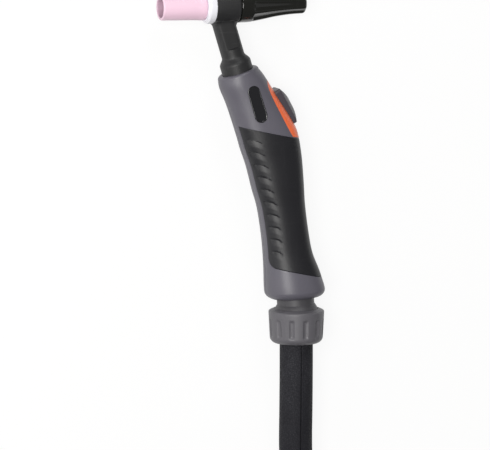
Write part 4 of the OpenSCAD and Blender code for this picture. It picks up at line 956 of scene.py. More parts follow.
def soft_grip(name, sizes):
    """The grip as a closed skin: a patch of the handle's surface between two slanted rows and the
    bare strip's two edges, rounded down along its border and grooved near the front, over the same
    patch set in."""
    proud, rim = 0.05, 0.55
    rows = grip_rows(sizes.grooves)
    half = np.concatenate(
        [np.linspace(0, 0.62, 22), np.linspace(0.64, 0.985, 36), [0.99, 0.994, 0.997, 0.999, 1.0]]
    )
    a = strip_angle(rows)[:, None] * np.concatenate([-half[:0:-1], half])
    t = slanted_stations(rows, np.abs(a))
    base = handle_point(t, a)
    # distance to the border, along the spine and along each row
    spine = section_at(rows)[:, 1]
    to_row = np.minimum(spine[0] - spine, spine - spine[-1]) * math.cos(math.radians(GRIP_SLOPE))
    step = np.linalg.norm(np.diff(base, axis=1), axis=2)
    run = np.concatenate([np.zeros((len(rows), 1)), np.cumsum(step, axis=1)], axis=1)
    near = np.minimum(to_row[:, None], np.minimum(run, run[:, -1:] - run))
    front_a = np.full((len(rows), 1), np.pi)
    front_x = handle_point(slanted_stations(rows, front_a), front_a)[..., 0]
    outer = handle_point(t, a, quarter_drop(near, rim) + groove_depth(base, front_x, sizes) - proud)
    inner = handle_point(t, a, GRIP_T - 0.02)
    n, m, _ = outer.shape
    top = grid_quads(n, m)
    i, j = np.arange(n) * m, np.arange(m)
    borders = (j, i + m - 1, (n - 1) * m + j[::-1], i[::-1])
    sides = [np.stack([b[:-1], b[1:], b[1:] + n * m, b[:-1] + n * m], axis=1) for b in borders]
    verts = np.concatenate([outer.reshape(-1, 3), inner.reshape(-1, 3)])
    quads = np.concatenate([top, top[:, ::-1] + n * m] + sides)
    return make_mesh(name, place(verts), quads, sharp=40.0)


def rounded_outline(length, width, radius, n=96):
    """Points round a rounded rectangle, its long side first: the straight sides and four quarter
    circles, taken at even angles of the corners so that grown outlines match point for point."""
    out = []
    for k, (sx, sy) in enumerate(((1, 1), (-1, 1), (-1, -1), (1, -1))):
        ang = np.pi / 2 * k + np.linspace(0, np.pi / 2, n // 4)
        cx, cy = sx * (length / 2 - radius), sy * (width / 2 - radius)
        out.append(np.stack([cx + radius * np.cos(ang), cy + radius * np.sin(ang)], axis=1))
    return np.concatenate(out)


def on_button(height, outline):
    """Points over an outline, given as places up along the handle and to its left, at a height out
    of it, in the button's own axes."""
    height = height + np.zeros(len(outline))
    along, left = outline[:, :1], outline[:, 1:]
    return BUTTON_MID + height[:, None] * BUTTON_N + along * BUTTON_S + left * UP


def button_outline(grow, n=96):
    """Outline of the button, grown by a distance all round."""
    length, width = BUTTON_SIZE
    return rounded_outline(length + 2 * grow, width + 2 * grow, BUTTON_CORNER + grow, n)


def switch_bezel(name):
    """Orange housing: the body between the handle's surface and the superellipse that seats it,
    with a slot for the button and room for its flange. Rows lie between the seat's two meetings
    with the back edge, closer together at the ends."""
    proud, gap, flange = 0.08, 0.25, 2.0
    first, last = seat_rows()
    rows = first + (last - first) * (1 - np.cos(np.linspace(0, np.pi, 110))) / 2
    edge = np.maximum(bezel_angle(rows), 0.004)
    c = np.sin(np.linspace(-np.pi / 2, np.pi / 2, 65))
    a = edge[:, None] * c[None, :]
    top = handle_point(slanted_stations(rows, np.abs(a)), a, -proud * (1 - c[None, :] ** 8))
    along = np.clip(np.abs((top - BEZEL_MID) @ BEZEL_S) / BEZEL_HALF, 0, 1)
    seat = -BEZEL_DEPTH * (1 - along**4) ** 0.25
    drop = np.minimum(seat - (top - BEZEL_MID) @ BEZEL_N, 0) - 0.02
    low = top + drop[..., None] * BEZEL_N
    obj = tube_surface(name, place(np.concatenate([top, low[:, ::-1]], axis=1)))
    length, width = BUTTON_SIZE
    room = rounded_outline(length + 2 * flange, width + 2 * flange, 0.3)
    for outline, heights in (
        (room, (-BEZEL_DEPTH - 2, -BEZEL_T)),
        (button_outline(gap), (-BEZEL_T - 1, 12.0)),
    ):
        rings = np.stack([on_button(h, outline) for h in heights])
        cut(obj, tube_surface("cutter", place(rings)))
    return obj


def trigger_button(name):
    """Button: its outline shrinks to the middle over a crown that drops from its top by two arcs,
    one along and one across, with a rounded brow, straight sides and a flange below."""
    top, arc_along, arc_across, brow = 6.1, 31.6, 15.0, 0.55

    def crown(p):
        along = arc_along - np.sqrt(arc_along**2 - p[:, 0] ** 2)
        over = arc_across - np.sqrt(arc_across**2 - p[:, 1] ** 2)
        return top - along - over

    inner = button_outline(-brow, 128)
    rings = [on_button(crown(inner * share), inner * share) for share in np.linspace(0.02, 1, 16)]
    for ang in np.radians([15, 30, 45, 60, 75, 90]):
        outline = button_outline(-brow * (1 - math.sin(ang)), 128)
        rings.append(on_button(crown(inner) - brow * (1 - math.cos(ang)), outline))
    # side and flange: how far the outline grows, and its height
    for grow, height in ((0, -0.4), (0, -4.3), (1.15, -4.3), (1.15, -5.5), (0.9, -5.54)):
        rings.append(on_button(height, button_outline(grow, 128)))
    return tube_surface(name, place(np.array(rings)))


BADGE_SIZE, BADGE_GAP = (25.0, 8.4), 0.12
BADGE_STATION = 2.15


def badge_ring(grow, height):
    """The badge's stadium, grown by a distance, at a height over the badge's rim."""
    row = section_at(np.array(BADGE_STATION))
    mid = np.array([row[0] - 1.1, row[1], row[4] + 0.3])
    lean, slope = math.radians(NECK_LEAN), math.radians(3.0)
    along = [-math.sin(lean) * math.cos(slope), math.cos(lean) * math.cos(slope), -math.sin(slope)]
    right = np.array([math.cos(lean), math.sin(lean), 0.0])
    length, width = (size + 2 * grow for size in BADGE_SIZE)
    outline = rounded_outline(length, width, BADGE_SIZE[1] / 2 + grow)
    out = height * np.cross(right, along)
    return mid + outline[:, :1] * np.array(along) + outline[:, 1:] * right + out


def badge(name):
    """Plain badge plate: a raised, rounded border round a slightly crowned field. Its rings go from
    the field's middle to the border and down its side."""
    levels = [(-4.1, -0.26), (-2.6, -0.28), (-1.25, -0.3), (-0.9, -0.3), (-0.72, -0.1)]
    levels += [(-0.5, 0.0), (-0.3, 0.0), (-0.1, -0.08), (0.0, -0.25), (0.0, -1.5)]
    return tube_surface(name, place(np.array([badge_ring(*level) for level in levels])))


def badge_seat():
    """Solid that cuts the badge's seat into the shell."""
    return tube_surface("seat", place(np.array([badge_ring(BADGE_GAP, h) for h in (-1.5, 6.0)])))


# ---------------------------------------------------------------- head

# Where the head's parts begin on X, in millimetres: the cup's root, the barrel's front face, which
# the gasket covers too, and the cap's collar. Radius of the barrel.
CUP_X, BARREL_X, CAP_X = -65.075, -59.175, -41.825
BARREL_R = 11.5


def round_head(name, profile, radii, start, way, **kwargs):
    """Ring of the head: a closed profile of (radius, place) with rounded corners, turned round the
    head's axis from its start forwards (way -1) or back (way 1)."""
    prof = fillet(profile + profile[:1], radii)[:-1]
    return turned(name, prof, (start, HEAD_Y, 0.0), (way, 0, 0), sides=128, closed=True)


def gas_cup(name):
    """Ceramic cup: a slightly tapered sleeve with a rounded mouth, a bore and the wider thread seat
    behind it."""
    outside = [(6.0, 0), (8.6, 0), (9.1, 0.6), (9.1, 3), (8.85, 5), (8.3, 29.0), (8.1, 30.0)]
    inside = [(6.6, 30.0), (6.4, 29.2), (6.4, 14), (6.0, 11)]
    radii = [0, 0.4, 0.5, 1.2, 3.0, 0.9, 0.9, 0.7, 0.9, 1.2, 1.0, 0]
    return round_head(name, outside + inside, radii, CUP_X, -1)


def gasket_ring(name):
    """White gasket: a plain drum with a rounded rear edge and a thin lip round the cup's root."""
    drum = [(7.1, 0), (11.5, 0), (11.5, 4.3), (11.0, 4.8)]
    lip = [(10.4, 4.8), (10.1, 5.15), (10.1, 5.8), (7.1, 5.8)]
    return round_head(name, drum + lip, [0, 0.5, 0.7, 0.4, 0.3, 0.3, 0.3, 0, 0], BARREL_X, -1)


def head_barrel(name):
    """Barrel of the head: a thick ring with rounded edges."""
    ring = [(8.05, 0), (11.3, 0), (BARREL_R, 0.25), (BARREL_R, 16.2), (10.7, 17.2), (8.05, 17.2)]
    return round_head(name, ring, [0, 0.3, 0.3, 1.0, 0.8, 0, 0], BARREL_X, 1)


def neck(name):
    """Neck from the flange in the handle to the barrel: a circle that narrows by a cosine from its
    wide foot, cut by two flats, and widened near the barrel by a fillet, where the distance to the
    barrel's surface is under its radius."""
    foot_r, stem_r, foot_end, taper, blend = 10.4, 7.6, 5.5, 5.6, 2.2
    lean = math.radians(NECK_LEAN)
    axis = np.array([-math.sin(lean), math.cos(lean), 0.0])
    right = np.array([axis[1], -axis[0], 0.0])
    flange = [-12.6, -12.6, -9.7, -9.7, -9.0]
    foot = [np.linspace(-8, 5.2, 12), np.linspace(5.5, 11.1, 14), [12.6, 14.0, 15.2]]
    stem = [np.linspace(15.6, 16.8, 13), np.linspace(17.5, 31, 10), np.linspace(31.5, 37.7, 16)]
    y = np.concatenate([flange, *foot, *stem])
    way = np.clip((y - foot_end) / taper, 0, 1)
    r = foot_r + (stem_r - foot_r) * (1 - np.cos(np.pi * way)) / 2
    r[:3] = [11.2, 11.7, 11.7]
    ang = even_angles(144)
    x, z = r[:, None] * np.cos(ang), r[:, None] * np.sin(ang)
    # the flats: half the thickness left at each height, with a slight crown
    flat = np.interp(y, [15.6, 15.9, 16.3, 16.6, 40], [12.0, 7.7, 6.5, 5.9, 5.9])[:, None]
    over = np.abs(z) - flat
    z = np.where(over > 0, np.sign(z) * (flat + 0.10 * np.clip(over, 0, 1)), z)
    pts = MOUTH + y[:, None, None] * axis + x[..., None] * right + z[..., None] * UP
    away = np.hypot(pts[..., 1] - HEAD_Y, pts[..., 2]) - BARREL_R
    grow = quarter_drop(away, blend) * np.clip(np.abs(np.cos(ang)) * 1.3, 0.35, 1)[None, :]
    outwards = np.cos(ang)[:, None] * right + np.sin(ang)[:, None] * UP
    pts = pts + grow[..., None] * outwards[None]
    # the part inside the barrel ends at its front face
    pts[..., 0] = np.maximum(pts[..., 0], BARREL_X - 0.025)
    return tube_surface(name, place(pts), sharp=32.0)


def back_cap(name):
    """Back cap: plain collar, then a body that narrows in a soft curve to a rounded end. Flutes run
    from the collar to the end, deepest at the collar."""
    knots = [[0, 11.4], [8.5, 11.2], [16.6, 10.0], [25.9, 8.38], [35.6, 7.3], [44.5, 6.9]]
    end_y, end_r, corner_r = 44.5, 6.9, 2.7
    body, _ = smooth_route([[y, r, 0] for y, r in knots], 0.5)
    prof = [(0, 0.0), (10.9, 0.0), (11.25, 0.15), (11.4, 0.5)] + [(r, y) for y, r, _ in body[2:]]
    for a in np.radians(np.arange(10, 91, 10)):
        prof.append((end_r - corner_r * (1 - math.cos(a)), end_y + corner_r * math.sin(a)))
    prof += [(2.0, 47.2), (0, 47.2)]

    def flutes(ang, r, y):
        start = ease(np.clip((y - 8.6) / 0.9, 0, 1))
        depth = np.interp(y, [8, 12, 30, 44.5, 47], [1.15, 1.25, 1.0, 0.75, 0.2])
        return r - depth * flute(ang, 8, 0.8) * start * (r > 3)

    return turned(name, prof, (CAP_X, HEAD_Y, 0.0), (1, 0, 0), sides=256, shape=flutes)


# ---------------------------------------------------------------- ball joint


def collar_nut(name):
    """Collar nut: hollow, tapering a little to its lower end, with a bevel at the top and flutes
    that fade out at both ends. Its lip follows the ball."""
    cup_r = 15.65
    outer = [(11.9, 0.0), (15.2, 0.0), (17.6, 2.4), (18.5, 20.0), (18.5, 21.2), (17.9, 21.8)]
    outer.append((15.0, NUT_LEN))
    lip_angles = np.radians([22.5, 19, 15, 11.4])
    lip = [(cup_r * math.cos(a), BALL_H + cup_r * math.sin(a)) for a in lip_angles]
    p = outer + lip + [(16.7, 20.1), (16.7, 2.5), (11.9, 2.5), (11.9, 0.0)]
    prof = fillet(p, [0, 1.6, 2.4, 1.0, 0.5, 0.6, 0.5] + [0] * 8, steps=5)
    # points every 0.6 mm, so that the flutes have rows to bend
    dense = [prof[0]]
    for a, b in zip(prof[:-1], prof[1:]):
        n = max(1, int(np.linalg.norm(b - a) / 0.6))
        dense += [a + (b - a) * k / n for k in range(1, n + 1)]

    def flutes(ang, r, y):
        outside = (r > 16.75) & (y > 1.5)
        ends = ease(np.clip((y - 4.0) / 1.6, 0, 1) * np.clip((17.2 - y) / 1.6, 0, 1))
        return r - np.where(outside, 0.95 * flute(ang, 12, 0.42) * ends, 0)

    return turned(name, dense[:-1], (0, 0, 0), (0, 1, 0), sides=288, shape=flutes, closed=True)


# ---------------------------------------------------------------- lead

# The hank in millimetres: its lower fold's centre on the bench, the straight runs' length, the
# inner strands' radius and the strands' pitch, the middle of the strands and how far they lie from
# it, and the height of the lower strands over the bench
HANK = np.array([-85.5, -357.5, -REST[2]])
HANK_RUN = 170.0
INNER_R, PITCH = 70.0, 24.0
MIDDLE_R, CORNER_R = INNER_R + PITCH / 2, PITCH / math.sqrt(2)
HANK_Z = 1.5 + SLEEVE_R
# A ring counts its steps along the right run, the lower fold, the left run and the upper fold
STEPS = (2, 8, 6, 8)
RINGS = sum(STEPS)
# Where the strands stand in a run's section: outer or inner side, upper or lower layer
FOUR_STRANDS = ((1, 0), (1, 1), (-1, 1), (-1, 0))
# Direction in which the lead leaves the hank
LEAVE = math.radians(50.0)
LEAVE_DIR = np.array([math.sin(LEAVE), math.cos(LEAVE), 0.0])
LEAVE_ACROSS = np.array([math.cos(LEAVE), -math.sin(LEAVE), 0.0])
BOOT_LEN = 42.0


def hank_line(s):
    """The wound lead's middle line from the bench's lower fold centre, s in rings. Four strands are
    the corners of a square; on the left run the square makes a smooth quarter turn, so each strand
    goes to the next corner, and the bundle bows out and up by as much as the turn needs room."""
    turn = np.floor(s / RINGS + 1e-9)
    k = s - turn * RINGS
    a, b, c = np.cumsum(STEPS[:3])
    share = np.where(k < b, 0, np.where(k < c, (k - b) / (c - b), 1.0))
    turned_by = (1 - np.cos(np.pi * np.minimum(1, share / 0.76))) / 2
    bulge = CORNER_R * (np.sin(np.radians(45 + 90 * turned_by)) - math.sin(math.radians(45)))
    ang = np.radians(90 * (turn + turned_by) - 45)
    r = MIDDLE_R + CORNER_R * np.cos(ang) - bulge
    z = HANK_Z + PITCH / 2 + CORNER_R * np.sin(ang) + bulge
    low = np.pi * np.clip((k - a) / (b - a), 0, 1)
    top = np.pi * np.clip((k - c) / (RINGS - c), 0, 1)
    part = [k < a, k < b, k < c]
    x = np.select(part, [r, r * np.cos(low), -r], -r * np.cos(top))
    right, left = HANK_RUN * (1 - k / a), HANK_RUN * (k - b) / (c - b)
    y = np.select(part, [right, -r * np.sin(low), left], HANK_RUN + r * np.sin(top))
    return np.stack([x, y, z], axis=-1)


def lead_route():
    """From the nut to the boot: the free stretch, the hank's turns and the end that turns in."""
    free = [(0, 5, 0), (0, -18, 0), (0, -45, -0.6), (0.6, -75, -2.4), (3, -105, -4.4)]
    free += [(6.3, -135, -5.4), (8.3, -162, -5.5)]
    last = 3 * RINGS + STEPS[0] + STEPS[1]
    wound = HANK + hank_line(np.arange(0, last + 0.01, 0.25))
    turn = np.linspace(0, LEAVE, 10)[1:]
    inner = [-INNER_R * np.cos(turn), INNER_R * np.sin(turn), np.full(len(turn), HANK_Z)]
    inner = HANK + np.stack(inner, axis=1)
    end = inner[-1] + 24.0 * LEAVE_DIR
    return np.concatenate([free, wound, inner, [end]]), end


LEAD_POINTS, LEAD_END = lead_route()
TAIL = LEAD_END + BOOT_LEN * LEAVE_DIR

# The three tails: place across and up on the boot's end, length that runs straight out of it,
# points from the hank's lower fold centre on the bench, the last of them the far end, where the
# tail starts its straight run into that end, its radius, finish and slot, and the kind and the
# solids of the far end
TAILS = {
    "power_lead": (
        (-4.5, -2), 10,
        [(23, 117, 9), (33, 129, 6.5), (40.5, 143, 5.2), (45, 158, 5), (46.5, 174, 5),
         (43.8, 189.4, 5), (33.3, 205.8, 5), (16.9, 216.3, 5), (-2.4, 218.8, 5.6),
         (-19.6, 213.7, 7), (-33, 202.9, 8.8), (-40.6, 190, 11.2), (-43, 174, 13)],
        (0, 7, 0), 5.0, "cable", "cable_black", "plug", ("power_plug_body", "power_plug_pin"),
    ),
    "gas_hose": (
        (5.5, -2.5), 8,
        [(26, 101.5, 8.5), (36.5, 98.5, 6.2), (44.5, 91, 4.6), (49, 80, 4), (50.5, 66, 4),
         (50.5, 50, 4), (50.5, 34, 4), (50.5, 18, 4), (49.5, 3, 4), (45.5, -11, 4.2),
         (38.5, -22.5, 5), (29.5, -31.5, 7), (20, -37, 9.4), (2, -39, 17 / math.sqrt(3) + 0.4)],
        (10.5, 0, 0), 4.0, "hose", "hose_blue", "connector",
        ("gas_ferrule", "gas_nipple", "gas_nut"),
    ),
    "control_lead": (
        (0.5, 6), 8,
        [(22, 104.5, 18.2), (29.5, 101.5, 15.8), (35, 94.5, 12.4), (38, 84.5, 8.2),
         (39, 72.5, 4.4), (39, 58, 2.8), (39, 43, 2.75), (39, 28, 2.75), (38.5, 14, 2.75),
         (36, 1, 2.75), (29, -11, 2.9), (18, -17.5, 3.6), (6.5, -16.5, 5), (-2.5, -8, 7.2),
         (-6, 12, 9.3)],
        (0, -6, 0), 2.75, "cable", "cable_black", "plug",
        ("control_plug_body", "control_plug_insert", "control_plug_ring"),
    ),
}


def tail_points(start, straight, points, approach):
    """A tail's route: straight out of the boot, over its own points, and straight into its end."""
    points = HANK + np.array(points, dtype=float)
    first = TAIL + start[0] * LEAVE_ACROSS + start[1] * UP
    out = [first, first + straight * LEAVE_DIR]
    return np.concatenate([out, points[:-1], [points[-1] + approach, points[-1]]])


def sleeve(name, sizes):
    """Leather sleeve over the whole lead: round, with soft creases, as two products of sines round
    and along it, and a lapped seam along the top, whose edge stands up beside a narrow gap."""
    route, run = smooth_route(LEAD_POINTS, 4.2)
    base = even_angles(46)
    base = base[(base > 0.12) & (base < 2 * np.pi - 0.12)]
    seam = np.radians([-4.2, -3.2, -2.4, -1.5, -0.6, 0.3, 1.2, 2.2, 3.2, 4.4, 6.0])
    angles = np.unique(np.concatenate([base, seam % (2 * np.pi)]))

    def radius(a, s):
        w = ((a + np.pi) % (2 * np.pi) - np.pi) * SLEEVE_R
        long_waves = np.sin(s * 0.11 + 2.2 * np.sin(a * 2 + s * 0.021)) * np.sin(s * 0.043 + a * 3)
        short_waves = np.sin(s * 0.37 + 3 * np.sin(a + s * 0.05)) * np.sin(a * 2 + s * 0.013)
        crease = (0.16 * long_waves + 0.10 * short_waves) * np.clip(s / 90.0, 0.15, 1)
        gap = np.exp(-(((w + 0.30) / 0.28) ** 2)) * 1.1 * sizes.seam_depth / MM
        edge = np.exp(-(((w - 0.42) / 0.30) ** 2)) * 0.28
        lap = np.where(w < -0.3, np.clip((w + 5) / 4.7, 0, 1) * 0.35, 0)
        return SLEEVE_R - 0.42 + crease - gap + edge - lap

    return swept(name, route, run, radius, angles), route, run


def boot(name):
    """Rubber boot where the lead splits: a plain collar, then a bellows of four grooves, narrowing
    to its end."""
    collar = [(0, 0), (12.4, 0), (12.5, 9), (11.6, 10), (11.6, 12.2)]
    p = collar + [(12.1, 13), (12.1, 15), (11.4, 16), (11.4, 18), (11.9, 19), (11.9, 21)]
    p += [(11.2, 22), (11.2, 24), (11.6, 25), (11.6, 27), (10.9, 28), (10.9, 30), (11.3, 31)]
    p += [(11.3, 33), (10.5, 34), (10.4, 41), (9.6, BOOT_LEN), (0, BOOT_LEN)]
    return turned(name, fillet(p, 0.7), LEAD_END, LEAVE_DIR)


def strap(name, side, y, strands):
    """Webbing strap drawn round the strands of one run. Its middle line in direction u(t) = (cos t,
    sin t) is c + r u, with c the strand that lies furthest along u, and its section is
    |a|^8 + |b|^2 = 1 stretched to the webbing's half width and half thickness."""
    half_width, half_thick, clear = 10.9, 0.62, 0.15
    centres = [(side * (MIDDLE_R + PITCH / 2 * out), HANK_Z + PITCH * up) for out, up in strands]
    centres = np.array(centres)
    t, v = even_angles(120), even_angles(28)
    u = np.stack([np.cos(t), np.sin(t)], axis=1)
    p = centres[np.argmax(u @ centres.T, axis=1)] + (SLEEVE_R + clear + half_thick) * u
    along = np.sign(np.cos(v)) * np.abs(np.cos(v)) ** 0.25 * half_width
    thick = np.sin(v) * half_thick
    flat = p[:, None, :] + thick[None, :, None] * u[:, None, :]
    across = y + np.repeat(along[None], len(t), 0)
    rings = HANK + np.stack([flat[..., 0], across, flat[..., 1]], axis=-1)
    run = np.concatenate([[0], np.cumsum(np.linalg.norm(np.diff(p, axis=0), axis=1))])
    uv = np.stack(np.broadcast_arrays(run[:, None] * MM, along[None, :] * MM), axis=-1)
    return loop_surface(name, place(rings), uv=uv.reshape(-1, 2))


# ---------------------------------------------------------------- settings of the add-on


def length(label, description, default):
    return bpy.props.FloatProperty(
        name=label, description=description, default=default, unit="LENGTH"
    )


def colour(label, default):
    return bpy.props.FloatVectorProperty(
        name=label,
        description=f"Colour of the {label.lower()}",
        subtype="COLOR",
        size=3,
        default=default,
        min=0,
        max=1,
    )


class TorchSizes(bpy.types.PropertyGroup):
    """Sizes of details that only the dressed torch has."""

    parting: length("Parting line", "Depth of the line between the shells", 0.00022)
    grooves: bpy.props.IntProperty(
        name="Grooves", description="Grooves on each side of the grip", default=10, min=0
    )
    groove_depth: length("Groove depth", "Depth of the grip's grooves", 0.00065)
    seam_depth: length("Seam depth", "Depth of the gap along the sleeve's seam", 0.0011)


class TorchColours(bpy.types.PropertyGroup):
    """Colours of the torch's finishes, as linear values."""

    cup: colour("Cup", (0.87, 0.61, 0.74))
    gasket: colour("Gasket", (0.84, 0.84, 0.89))
    head: colour("Head", (0.018, 0.018, 0.019))
    cap: colour("Back cap", (0.009, 0.009, 0.0075))
    handle: colour("Handle", (0.105, 0.100, 0.122))
    grip: colour("Grip", (0.0075, 0.0073, 0.0098))
    orange: colour("Switch housing", (0.90, 0.165, 0.055))
    button: colour("Button", (0.060, 0.052, 0.063))
    nut: colour("Collar nut", (0.106, 0.102, 0.114))
    spigot: colour("Spigot", (0.056, 0.054, 0.060))
    leather: colour("Sleeve", (0.0155, 0.0153, 0.0185))
    leather_worn: colour("Worn sleeve", (0.050, 0.050, 0.058))


# ---------------------------------------------------------------- stage

# Camera: its right and up directions, the point it looks at in the torch's frame, its distance in
# metres and the width that it sees there
VIEW_RIGHT = np.array([0.940, 0.0, 0.342])
VIEW_UP = np.array([0.0476, 0.990, -0.131])
VIEW_AIM = (-36.3, 80.4, 0.0)
VIEW_AWAY, VIEW_WIDTH, SENSOR = 3.0, 0.3234, 36.0

# Lamps: place and size in metres, power in watts and tint; all look at one point of the torch
LAMP_AIM = (-20.0, 120.0, 0.0)
LAMPS = {
    "key": ((-0.85, 0.15, 1.7), (1.0, 1.0), 33.0, (1.0, 0.99, 0.965)),
    "side": ((-1.5, 0.0, 0.6), (1.2, 0.7), 5.0, (1, 1, 1)),
    "fill": ((1.4, -0.2, 1.3), (1.2, 1.2), 1.2, (0.97, 0.98, 1.0)),
    "top": ((0.1, 1.5, 1.1), (1.0, 0.6), 8.0, (1, 1, 1)),
}


def frame_matrix(x, y, z, origin):
    """Matrix with the given axes and origin as its columns."""
    return Matrix([[x[i], y[i], z[i], origin[i]] for i in range(3)] + [[0, 0, 0, 1]])


def add_camera(scene):
    """Long lens that looks down on the torch from the front left."""
    back = np.cross(VIEW_RIGHT, VIEW_UP)
    eye = place(VIEW_AIM) + VIEW_AWAY * back / np.linalg.norm(back)
    cam = bpy.data.cameras.new("Camera")
    cam.sensor_width = SENSOR
    cam.lens = SENSOR * VIEW_AWAY / VIEW_WIDTH
    cam.clip_end = 20.0
    obj = bpy.data.objects.new("Camera", cam)
    scene.collection.objects.link(obj)
    turn = frame_matrix(VIEW_RIGHT, VIEW_UP, back, eye).to_quaternion()
    obj.matrix_world = turn.to_matrix().to_4x4()
    obj.location = eye
    scene.camera = obj


def add_floor():
    """Pale floor that keeps the shadow. Seen by the camera, in a reflection or through glass, it
    glows white by a share of its look."""
    half, glow, share = 6, 1.1, 0.80
    corners = [[-half, -half, 0], [half, -half, 0], [half, half, 0], [-half, half, 0]]
    floor = make_mesh("floor", corners, [[0, 1, 2, 3]], outward=False)
    mat, n, shader = start_material("Floor", (0.9, 0.9, 0.9))
    n.give(shader, Base_Color=(0.55, 0.55, 0.55, 1), Roughness=0.9)
    path = n.add("ShaderNodeLightPath").outputs
    seen = n.math("MAXIMUM", path["Is Camera Ray"], path["Is Glossy Ray"])
    seen = n.math("MAXIMUM", seen, path["Is Transmission Ray"])
    white = n.add("ShaderNodeEmission", {"Color": (1, 1, 1, 1), "Strength": glow}).outputs[0]
    inputs = {0: n.math("MULTIPLY", seen, share), 1: shader.outputs[0], 2: white}
    out = next(x for x in n.tree.nodes if x.type == "OUTPUT_MATERIAL")
    n.give(out, Surface=n.add("ShaderNodeMixShader", inputs).outputs[0])
    floor.data.materials.append(mat)


def add_world(scene):
    """Weak cool light from all round."""
    world = bpy.data.worlds.new("Studio")
    scene.world = world
    world.use_nodes = True
    n = Nodes(world.node_tree)
    n.tree.nodes.clear()
    sky = n.add("ShaderNodeBackground", {"Color": (0.97, 0.985, 1.0, 1), "Strength": 0.12})
    n.add("ShaderNodeOutputWorld", {"Surface": sky.outputs[0]})


def add_lamps(scene):
    """Soft rectangles of light that face the torch."""
    aim = place(LAMP_AIM)
    for name, (where, size, power, tint) in LAMPS.items():
        data = bpy.data.lights.new(name, "AREA")
        data.shape = "RECTANGLE"
        data.size, data.size_y = size
        data.energy = power
        data.color = tint
        obj = bpy.data.objects.new(name, data)
        scene.collection.objects.link(obj)
        z, x, y = basis(np.array(where) - aim, (0.0, 1.0, 0.2))
        obj.matrix_world = frame_matrix(x, y, z, where)


# ---------------------------------------------------------------- operators


class TORCH_OT_stage(bpy.types.Operator):
    """Camera, floor, world and lamps"""

    bl_idname = "torch.stage"
    bl_label = "Stage"

    def execute(self, context):
        scene = context.scene
        scene.view_settings.view_transform = "Standard"
        add_camera(scene)
        add_floor()
        add_world(scene)
        add_lamps(scene)
        return {"FINISHED"}


class TORCH_OT_lead(bpy.types.Operator):
    """Sleeve with its hank, boot, straps and the three tails"""

    bl_idname = "torch.lead"
    bl_label = "Lead"

    def execute(self, context):
        tube, route, run = sleeve("lead_sleeve", context.scene.torch_sizes)
        add_piece(tube, "leather", "lead", ("cable_sleeve", "cable_hank"))
        held = [add_piece(boot("lead_boot"), "rubber", "lead", ("end_boot",))]
        for name, side, along, strands in (
            ("strap_right", 1, 0.5, FOUR_STRANDS),
            ("strap_left", -1, 0.88, FOUR_STRANDS[1:]),
        ):
            band = strap(name, side, HANK_RUN * along, strands)
            held.append(add_piece(band, "webbing", "lead", ("hank_" + name,)))
        for name, (start, straight, points, approach, r, finish, slot, end, ends) in TAILS.items():
            line, way = smooth_route(tail_points(start, straight, points, approach), 2.0)
            obj = swept(name + "_jacket", line, way, lambda a, s, r=r: r - 0.03, even_angles(32))
            add_piece(obj, finish, "lead", (name,))
        return {"FINISHED"}


class TORCH_OT_connectors(bpy.types.Operator):
    """Plugs and the gas fitting at the tails' ends"""

    bl_idname = "torch.connectors"
    bl_label = "Connectors"

    def execute(self, context):
        dress("rubber", "power_plug_body", "control_plug_body")
        dress("brass_plug", "power_plug_pin")
        dress("brass", "gas_nipple", "gas_nut")
        dress("steel", "gas_ferrule", "control_plug_ring")
        dress("nylon", "control_plug_insert")
        return {"FINISHED"}


class TORCH_OT_head(bpy.types.Operator):
    """Cup, gasket, barrel, neck and back cap, with the metal parts inside"""

    bl_idname = "torch.head"
    bl_label = "Head"

    def execute(self, context):
        add_piece(gas_cup("gas_cup"), "ceramic", "handle", ("cup",))
        add_piece(gasket_ring("gasket_ring"), "gasket", "handle", ("cup_gasket",))
        add_piece(head_barrel("head_barrel"), "head", "handle", ("head_cover",))
        add_piece(neck("neck_moulding"), "head", "handle")
        add_piece(back_cap("long_back_cap"), "cap", "cap", ("back_cap",))
        dress("brass", "collet_body", "head_core", "power_ferrule")
        dress("copper", "collet", "neck_tube")
        dress("rubber", "cap_o_ring")
        dress("cable", "power_hose", "switch_cable")
        return {"FINISHED"}


class TORCH_OT_handle(bpy.types.Operator):
    """Two shells, soft grip, badge and screws"""

    bl_idname = "torch.handle"
    bl_label = "Handle"

    def execute(self, context):
        left = cut(shell_half("shell_left", 1.0), badge_seat())
        add_piece(left, "handle", "handle", ("handle_shell_left",))
        right = shell_half("shell_right", -1.0)
        add_piece(right, "handle", "handle", ("handle_shell_right",))
        grip = soft_grip("soft_grip", context.scene.torch_sizes)
        add_piece(grip, "grip", "handle", ("rear_grip",))
        add_piece(badge("plain_badge"), "badge", "handle", ("badge_plate",))
        dress("steel", "handle_screws")
        return {"FINISHED"}


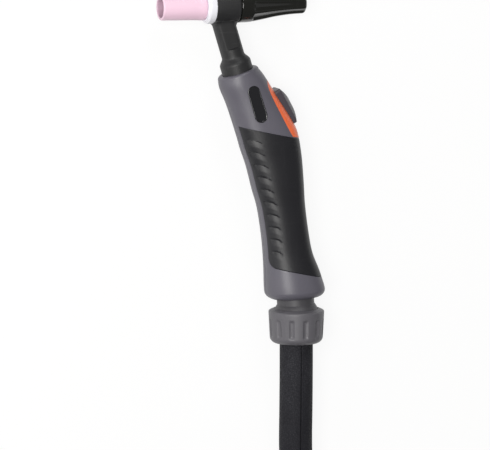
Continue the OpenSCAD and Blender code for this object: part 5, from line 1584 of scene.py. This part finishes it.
class TORCH_OT_switch(bpy.types.Operator):
    """Orange housing, button, microswitch and plunger"""

    bl_idname = "torch.switch"
    bl_label = "Switch"

    def execute(self, context):
        housing, button = switch_bezel("switch_bezel"), trigger_button("trigger_button")
        add_piece(housing, "orange", "handle", ("switch_housing",))
        add_piece(button, "button", "button", ("switch_button",))
        dress("rubber", "microswitch")
        dress("orange", "switch_plunger")
        return {"FINISHED"}


class TORCH_OT_joint(bpy.types.Operator):
    """Ball spigot, socket, collar nut and clamp"""

    bl_idname = "torch.joint"
    bl_label = "Ball joint"

    def execute(self, context):
        add_piece(collar_nut("fluted_nut"), "nut", "lead", ("collar_nut",))
        dress("spigot", "ball_spigot")
        dress("nylon", "ball_socket")
        dress("steel", "sleeve_clamp")
        return {"FINISHED"}


class TORCH_PT_panel(bpy.types.Panel):
    """Lists the torch's sizes, colours and building steps"""

    bl_label = "Torch"
    bl_idname = "TORCH_PT_panel"
    bl_space_type = "VIEW_3D"
    bl_region_type = "UI"
    bl_category = "Torch"

    def draw(self, context):
        for group in (context.scene.torch_sizes, context.scene.torch_colours):
            for name in group.__annotations__:
                self.layout.prop(group, name)
        for op in OPERATORS:
            self.layout.operator(op.bl_idname)


OPERATORS = (
    TORCH_OT_stage,
    TORCH_OT_lead,
    TORCH_OT_connectors,
    TORCH_OT_head,
    TORCH_OT_handle,
    TORCH_OT_switch,
    TORCH_OT_joint,
)
CLASSES = (TorchSizes, TorchColours, TORCH_PT_panel) + OPERATORS


def register():
    for cls in CLASSES:
        bpy.utils.register_class(cls)
    bpy.types.Scene.torch_sizes = bpy.props.PointerProperty(type=TorchSizes)
    bpy.types.Scene.torch_colours = bpy.props.PointerProperty(type=TorchColours)


def unregister():
    del bpy.types.Scene.torch_colours
    del bpy.types.Scene.torch_sizes
    for cls in reversed(CLASSES):
        bpy.utils.unregister_class(cls)


def main():
    register()
    bpy.ops.torch.stage()
    bpy.ops.torch.lead()
    bpy.ops.torch.connectors()
    bpy.ops.torch.head()
    bpy.ops.torch.handle()
    bpy.ops.torch.switch()
    bpy.ops.torch.joint()
    bpy.context.view_layer.update()


if __name__ == "__main__":
    main()
